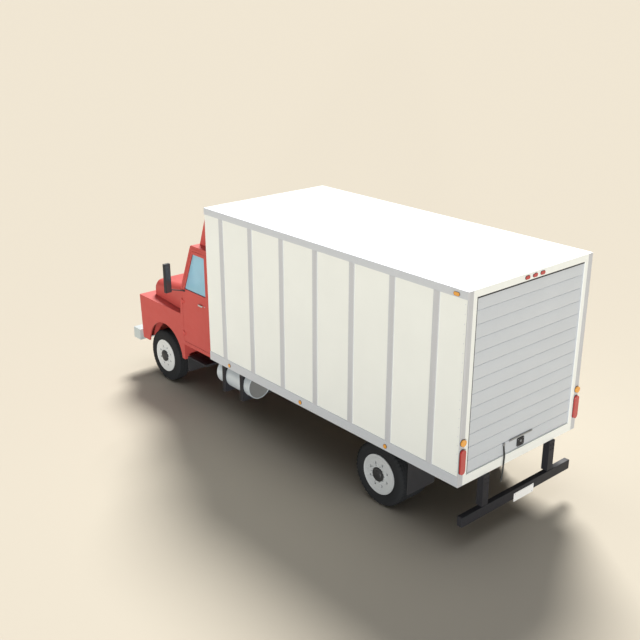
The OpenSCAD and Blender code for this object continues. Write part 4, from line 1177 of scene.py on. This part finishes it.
def makePad(name, outline, half):
    # outline is (x, z) points of the pad's side, already inside the seat's own solid
    middle = Vector((sum(p[0] for p in outline) / len(outline), sum(p[1] for p in outline) / len(outline)))
    shrink, cap = seatPads["shrink"], seatPads["cap"]
    inset = [Vector(p) + (middle - Vector(p)).normalized() * shrink * 1.3 for p in outline]
    bm = bmesh.new()
    addPrism(bm, inset, -half + shrink, half - shrink, 1)
    pad = makePiece(name, bm, "vinyl", smoothAngle=180)
    remesh = pad.modifiers.new("remesh", "REMESH")
    remesh.mode = "VOXEL"
    remesh.voxel_size = seatPads["voxel"]
    applyModifiers(pad)
    rest = [v.co.copy() for v in pad.data.vertices]
    inflate(pad)
    xs, zs = zip(*outline)
    spans = ((min(xs) + 0.001, max(xs) - 0.001), (-half, half), (min(zs) + 0.001, max(zs) - 0.001))
    for vertex, start in zip(pad.data.vertices, rest):
        move = vertex.co - start
        if move.length > cap:
            vertex.co = start + move.normalized() * cap
        vertex.co = [max(low, min(high, value)) for value, (low, high) in zip(vertex.co, spans)]
    sewChannels(pad, middle, half)
    smooth = pad.modifiers.new("subdivision", "SUBSURF")
    smooth.levels = smooth.render_levels = 1
    applyModifiers(pad)
    pad.data.shade_smooth()
    return pad


def sewChannels(pad, middle, half):
    # seams across the pad pull its skin towards the middle
    count = seatPads["channels"]
    for vertex in pad.data.vertices:
        for k in range(1, count):
            line = -half + 2 * half * k / count
            near = max(0.0, 1 - abs(vertex.co.y - line) / seatPads["channelHalf"])
            toward = Vector((middle.x - vertex.co.x, 0, middle.y - vertex.co.z))
            if near and toward.length > 0.02:
                vertex.co += toward.normalized() * seatPads["channelDepth"] * near


def makeBench():
    low, high, _ = boxOf("bench_seat")
    half = high.y
    places = placesOf("bench_seat")
    # the back pad stands on the cushion at the step
    step = min(p.z for p in places if p.z > low.z + 0.171)
    rear = min(p.x for p in places if p.z < step - 0.001)
    front = max(p.x for p in places)
    footX = max(p.x for p in places if abs(p.z - step) < 0.002)
    topX = max(p.x for p in places if p.z > high.z - 0.002)
    seat = makePad("seat_cushion", [(rear, low.z), (front - 0.02, low.z), (front, low.z + 0.06),
                                    (front - 0.01, step - 0.03), (front - 0.06, step - 0.006),
                                    (rear, step - 0.006)], half)
    makePad("seat_back", [(low.x, step), (footX, step), (topX + 0.012, high.z - 0.05), (topX - 0.03, high.z),
                          (low.x, high.z)], half)
    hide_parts("bench_seat")
    bm = bmesh.new()
    end = half - 0.05
    for x, z in ((front - 0.045, step - 0.014), (topX - 0.012, high.z - 0.020)):
        addTube(bm, [(x, -end, z), (x, 0, z + 0.001), (x, end, z)], seatPads["piping"])
    makePiece("seat_piping", bm, "vinyl", smoothAngle=60)


makeBench()


# dashboard, pedals and floor mat
dash = {"vents": (-0.85, -0.30, 0.12, 0.86), "louvres": 4, "louvrePitch": 0.013, "marks": 11,
        "dials": ((0.40, 1.74, 0.052), (0.60, 1.74, 0.052), (0.50, 1.775, 0.026)),
        "pedals": ((0.44, 0.035), (0.57, 0.04), (0.70, 0.032)), "matHalf": 0.98}


def makeDash():
    face = min(p.x for p in placesOf("dashboard") if p.z > 1.64 and abs(p.y) > 0.9)
    panels, dials, marks, louvres = (bmesh.new() for _ in range(4))
    addPrism(panels, roundedOutline(0.30, 0.70, 1.665, 1.815, 0.03), face - 0.012, face + 0.004, 0)
    for y in dash["vents"]:
        addPrism(panels, roundedOutline(y - 0.055, y + 0.055, 1.745, 1.805, 0.012), face - 0.006, face + 0.004, 0)
        for k in range(dash["louvres"]):
            z = 1.752 + k * dash["louvrePitch"]
            addBox(louvres, (face - 0.008, y - 0.045, z), (face - 0.0055, y + 0.045, z + 0.004))
    addPrism(panels, roundedOutline(-0.80, -0.35, 1.652, 1.722, 0.014), face - 0.005, face + 0.004, 0)
    makePiece("dash_panels", panels, "plastic", soften=0.003)
    for y, z, radius in dash["dials"]:
        addLathe(dials, [(radius, -0.002), (radius, 0.006), (radius - 0.004, 0.007), (radius - 0.005, 0.002),
                         (0, 0.002)],
                 (face - 0.012, y, z), backward, 40)
        for k in range(dash["marks"]):
            angle = math.radians(225 - 27 * k)
            spot = (face - 0.0145, y + math.cos(angle) * radius * 0.78, z + math.sin(angle) * radius * 0.78)
            addDome(marks, spot, backward, radius * 0.035 + 0.0006, 0.0008, 6)
        addBox(marks, (face - 0.0155, y - 0.0012, z), (face - 0.0146, y + 0.0012, z + radius * 0.7))
    makePiece("dash_dials", dials, "black")
    makePiece("dial_marks", marks, "plate")
    makePiece("dash_louvres", louvres, "dash")


def makePedalsAndMat():
    x = boxOf("dashboard")[1].x
    bm = bmesh.new()
    for y, half in dash["pedals"]:
        addTube(bm, [(x - 0.004, y, 1.40), (x - 0.05, y, 1.30), (x - 0.075, y, 1.19)], 0.008)
        addPrism(bm, [(x - 0.098, 1.215), (x - 0.090, 1.219), (x - 0.055, 1.135), (x - 0.063, 1.131)],
                 y - half, y + half, 1)
    makePiece("pedals", bm, "black", soften=0.002)
    bm = bmesh.new()
    half = dash["matHalf"]
    addPrism(bm, roundedOutline(x - 0.24, x - 0.01, -half, half, 0.03), 0.9765, 0.984, 2)
    makePiece("floor_mat", bm, "flap", soften=0.002)


def makeHornCap():
    # on the steering wheel's own axis
    axis = Vector(joints["steering_wheel_turn"]["axis"]).normalized()
    hub = Vector(joints["steering_wheel_turn"]["pos_m"])
    arms = [p - hub for p in placesOf("steering_wheel")]
    top = max(arm.dot(axis) for arm in arms if (arm - axis * arm.dot(axis)).length < 0.06)
    bm = bmesh.new()
    addLathe(bm, [(0.044, -0.003), (0.046, 0.004), (0.042, 0.010), (0.030, 0.014), (0, 0.016)],
             hub + axis * top, axis, 40)
    makePiece("horn_cap", bm, "dash", "steering_wheel")


makeDash()
makePedalsAndMat()
makeHornCap()
print("cabin done")


# tank, steps, springs and underside
underside = {"uBolt": 0.009, "uBoltHalf": 0.043, "uBoltPlaces": (-0.062, 0.062), "strapHalf": 0.025,
             "treadRadius": 0.006, "treadRows": (19, 9), "treadPitch": 0.028, "springHalf": 0.038,
             "chamberPlace": 0.515, "coverBolts": 12, "coverCircle": 0.125, "silencerRadius": 0.115,
             "bumperLeg": 0.687}


def makeTankTrim():
    low, high, middle = boxOf("fuel_tank")
    radius = (high.y - low.y) / 2
    centre = Vector((0, middle.y, low.z + radius))
    paintPart("fuel_tank", "tankEnd", lambda c, n: abs(n.x) > 0.7 and (c.yz - centre.yz).length < radius - 0.003)
    rims, straps, cap = (bmesh.new() for _ in range(3))
    for x, out in ((low.x, -1), (high.x, 1)):
        addLathe(rims, [(radius - 0.014, 0.0), (radius - 0.012, 0.0025), (radius - 0.003, 0.0025),
                        (radius + 0.001, 0.0), (radius + 0.001, -0.022), (radius - 0.001, -0.022)],
                 (x, centre.y, centre.z), (out, 0, 0), 72, closed=True)
    makePiece("tank_end_rims", rims, "tank")
    edges = sorted({round(p.x, 4) for p in placesOf("tank_brackets")})
    half = underside["strapHalf"]
    for start, end in (edges[:2], edges[-2:]):
        addLathe(straps, [(radius + 0.0002, -half), (radius + 0.0034, -half), (radius + 0.0034, half),
                          (radius + 0.0002, half)],
                 ((start + end) / 2, centre.y, centre.z), forward, 72, closed=True)
    makePiece("tank_straps", straps, "black")
    places = placesOf("fuel_tank")
    top = max(p.z for p in places)
    neck = [p for p in places if p.z > top - 0.004]
    spot = sum((p.copy() for p in neck), Vector()) / len(neck)
    addLathe(cap, [(0.041, -0.010), (0.042, 0.010), (0.038, 0.016), (0.012, 0.016), (0.010, 0.022), (0, 0.022)],
             (spot.x, spot.y, top), upward, 24)
    makePiece("fuel_cap", cap, "black")


def makeStepTreads():
    low, high, _ = boxOf("cab_steps")
    # the tread is the broad face, lower than its brackets
    top = max(p.z for p in placesOf("cab_steps") if p.y > 1.1)
    long, wide = underside["treadRows"]
    bm = bmesh.new()
    for _, side in bothSides():
        for i in range(long):
            x = low.x + 0.025 + i * (high.x - low.x - 0.05) / (long - 1)
            for j in range(wide):
                addDome(bm, (x, side * (high.y - 0.02 - j * underside["treadPitch"]), top - 0.0003), upward,
                        underside["treadRadius"], 0.0025, 6)
    makePiece("step_treads", bm, "black", smoothAngle=80)


def makeSpringBolts():
    bm = bmesh.new()
    spring = boxOf("leaf_springs")[1].y - underside["springHalf"]
    rod, half = underside["uBolt"], underside["uBoltHalf"]
    for joint, seat, down in (("roll_front_left", 0.0, 0.075), ("roll_rear_left", 0.08, 0.055)):
        axle = Vector(joints[joint]["pos_m"])
        top, foot = axle.z + seat + 0.072, axle.z - down
        for _, side in bothSides():
            y = side * spring
            for x in (axle.x + place for place in underside["uBoltPlaces"]):
                for leg in (y - half, y + half):
                    addRod(bm, (x, leg, foot), (x, leg, top), rod, 10)
                    addHexNut(bm, (x, leg, foot + 0.014), (0, 0, -1), 0.014, 0.014)
                addRod(bm, (x, y - half - rod, top - 0.004), (x, y + half + rod, top - 0.004), rod, 10)
    makePiece("spring_u_bolts", bm, "spring")


def makeBrakeChambers():
    bm = bmesh.new()
    rear = Vector(joints["roll_rear_left"]["pos_m"])
    for _, side in bothSides():
        y = side * underside["chamberPlace"]
        addLathe(bm, [(0, -0.12), (0.05, -0.115), (0.068, -0.095), (0.068, -0.062), (0.074, -0.060),
                      (0.074, -0.048), (0.068, -0.046), (0.060, -0.01), (0.02, 0.0), (0.012, 0.05), (0, 0.05)],
                 (rear.x - 0.14, y, rear.z + 0.045), forward, 32)
        addBox(bm, (rear.x - 0.145, y - 0.02, rear.z - 0.03), (rear.x - 0.045, y + 0.02, rear.z + 0.03))
    # bolts of the axle's cover
    radius = underside["coverCircle"]
    for c, s in around(underside["coverBolts"]):
        addHexNut(bm, (rear.x - 0.118, c * radius, rear.z + s * radius), backward, 0.011, 0.010)
    makePiece("brake_chambers", bm, "chassis")


def makeSilencerBands():
    low = boxOf("exhaust")[0]
    can = underside["silencerRadius"]
    places = [p.x for p in placesOf("exhaust") if p.z < low.z + 0.01]
    bm = bmesh.new()
    for x in (min(places) + 0.012, max(places) - 0.012):
        addLathe(bm, [(can + 0.0005, -0.012), (can + 0.004, -0.010), (can + 0.004, 0.010), (can + 0.0005, 0.012)],
                 (x, low.y + can, low.z + can), forward, 48, closed=True)
    makePiece("silencer_bands", bm, "exhaust")


def makeRearBumperBolts():
    low, high, _ = boxOf("rear_bumper")
    bm = bmesh.new()
    for _, side in bothSides():
        for across in (-0.03, 0.03):
            for drop in (0.06, 0.13):
                spot = (low.x + 0.0105, side * underside["bumperLeg"] + across, high.z - drop)
                addHexNut(bm, spot, backward, 0.011, 0.010)
    makePiece("rear_bumper_bolts", bm, "black")


makeTankTrim()
makeStepTreads()
makeSpringBolts()
makeBrakeChambers()
makeSilencerBands()
makeRearBumperBolts()
print("underside done")


# soft edges on the pressed and welded panels
softening = {
    0.006: [*pair("wing"), "nose_panel", "roof_deflector", "cab_roof"],
    0.003: [*pair("door"), "box_posts", "box_rails", "rear_frame", *pair("mirror"), "licence_plate"],
    0.005: ["front_bumper", "rear_bumper", "cab_steps", "tank_brackets", "red_lamps", "amber_lamps",
            "latch_plate"],
}


def softenPanels():
    for width, names in softening.items():
        for name in names:
            weld = nodes[name].modifiers.new("weldSeams", "WELD")
            weld.merge_threshold = 0.0001
            softenEdges(nodes[name], width).harden_normals = False


softenPanels()
print("panels softened")
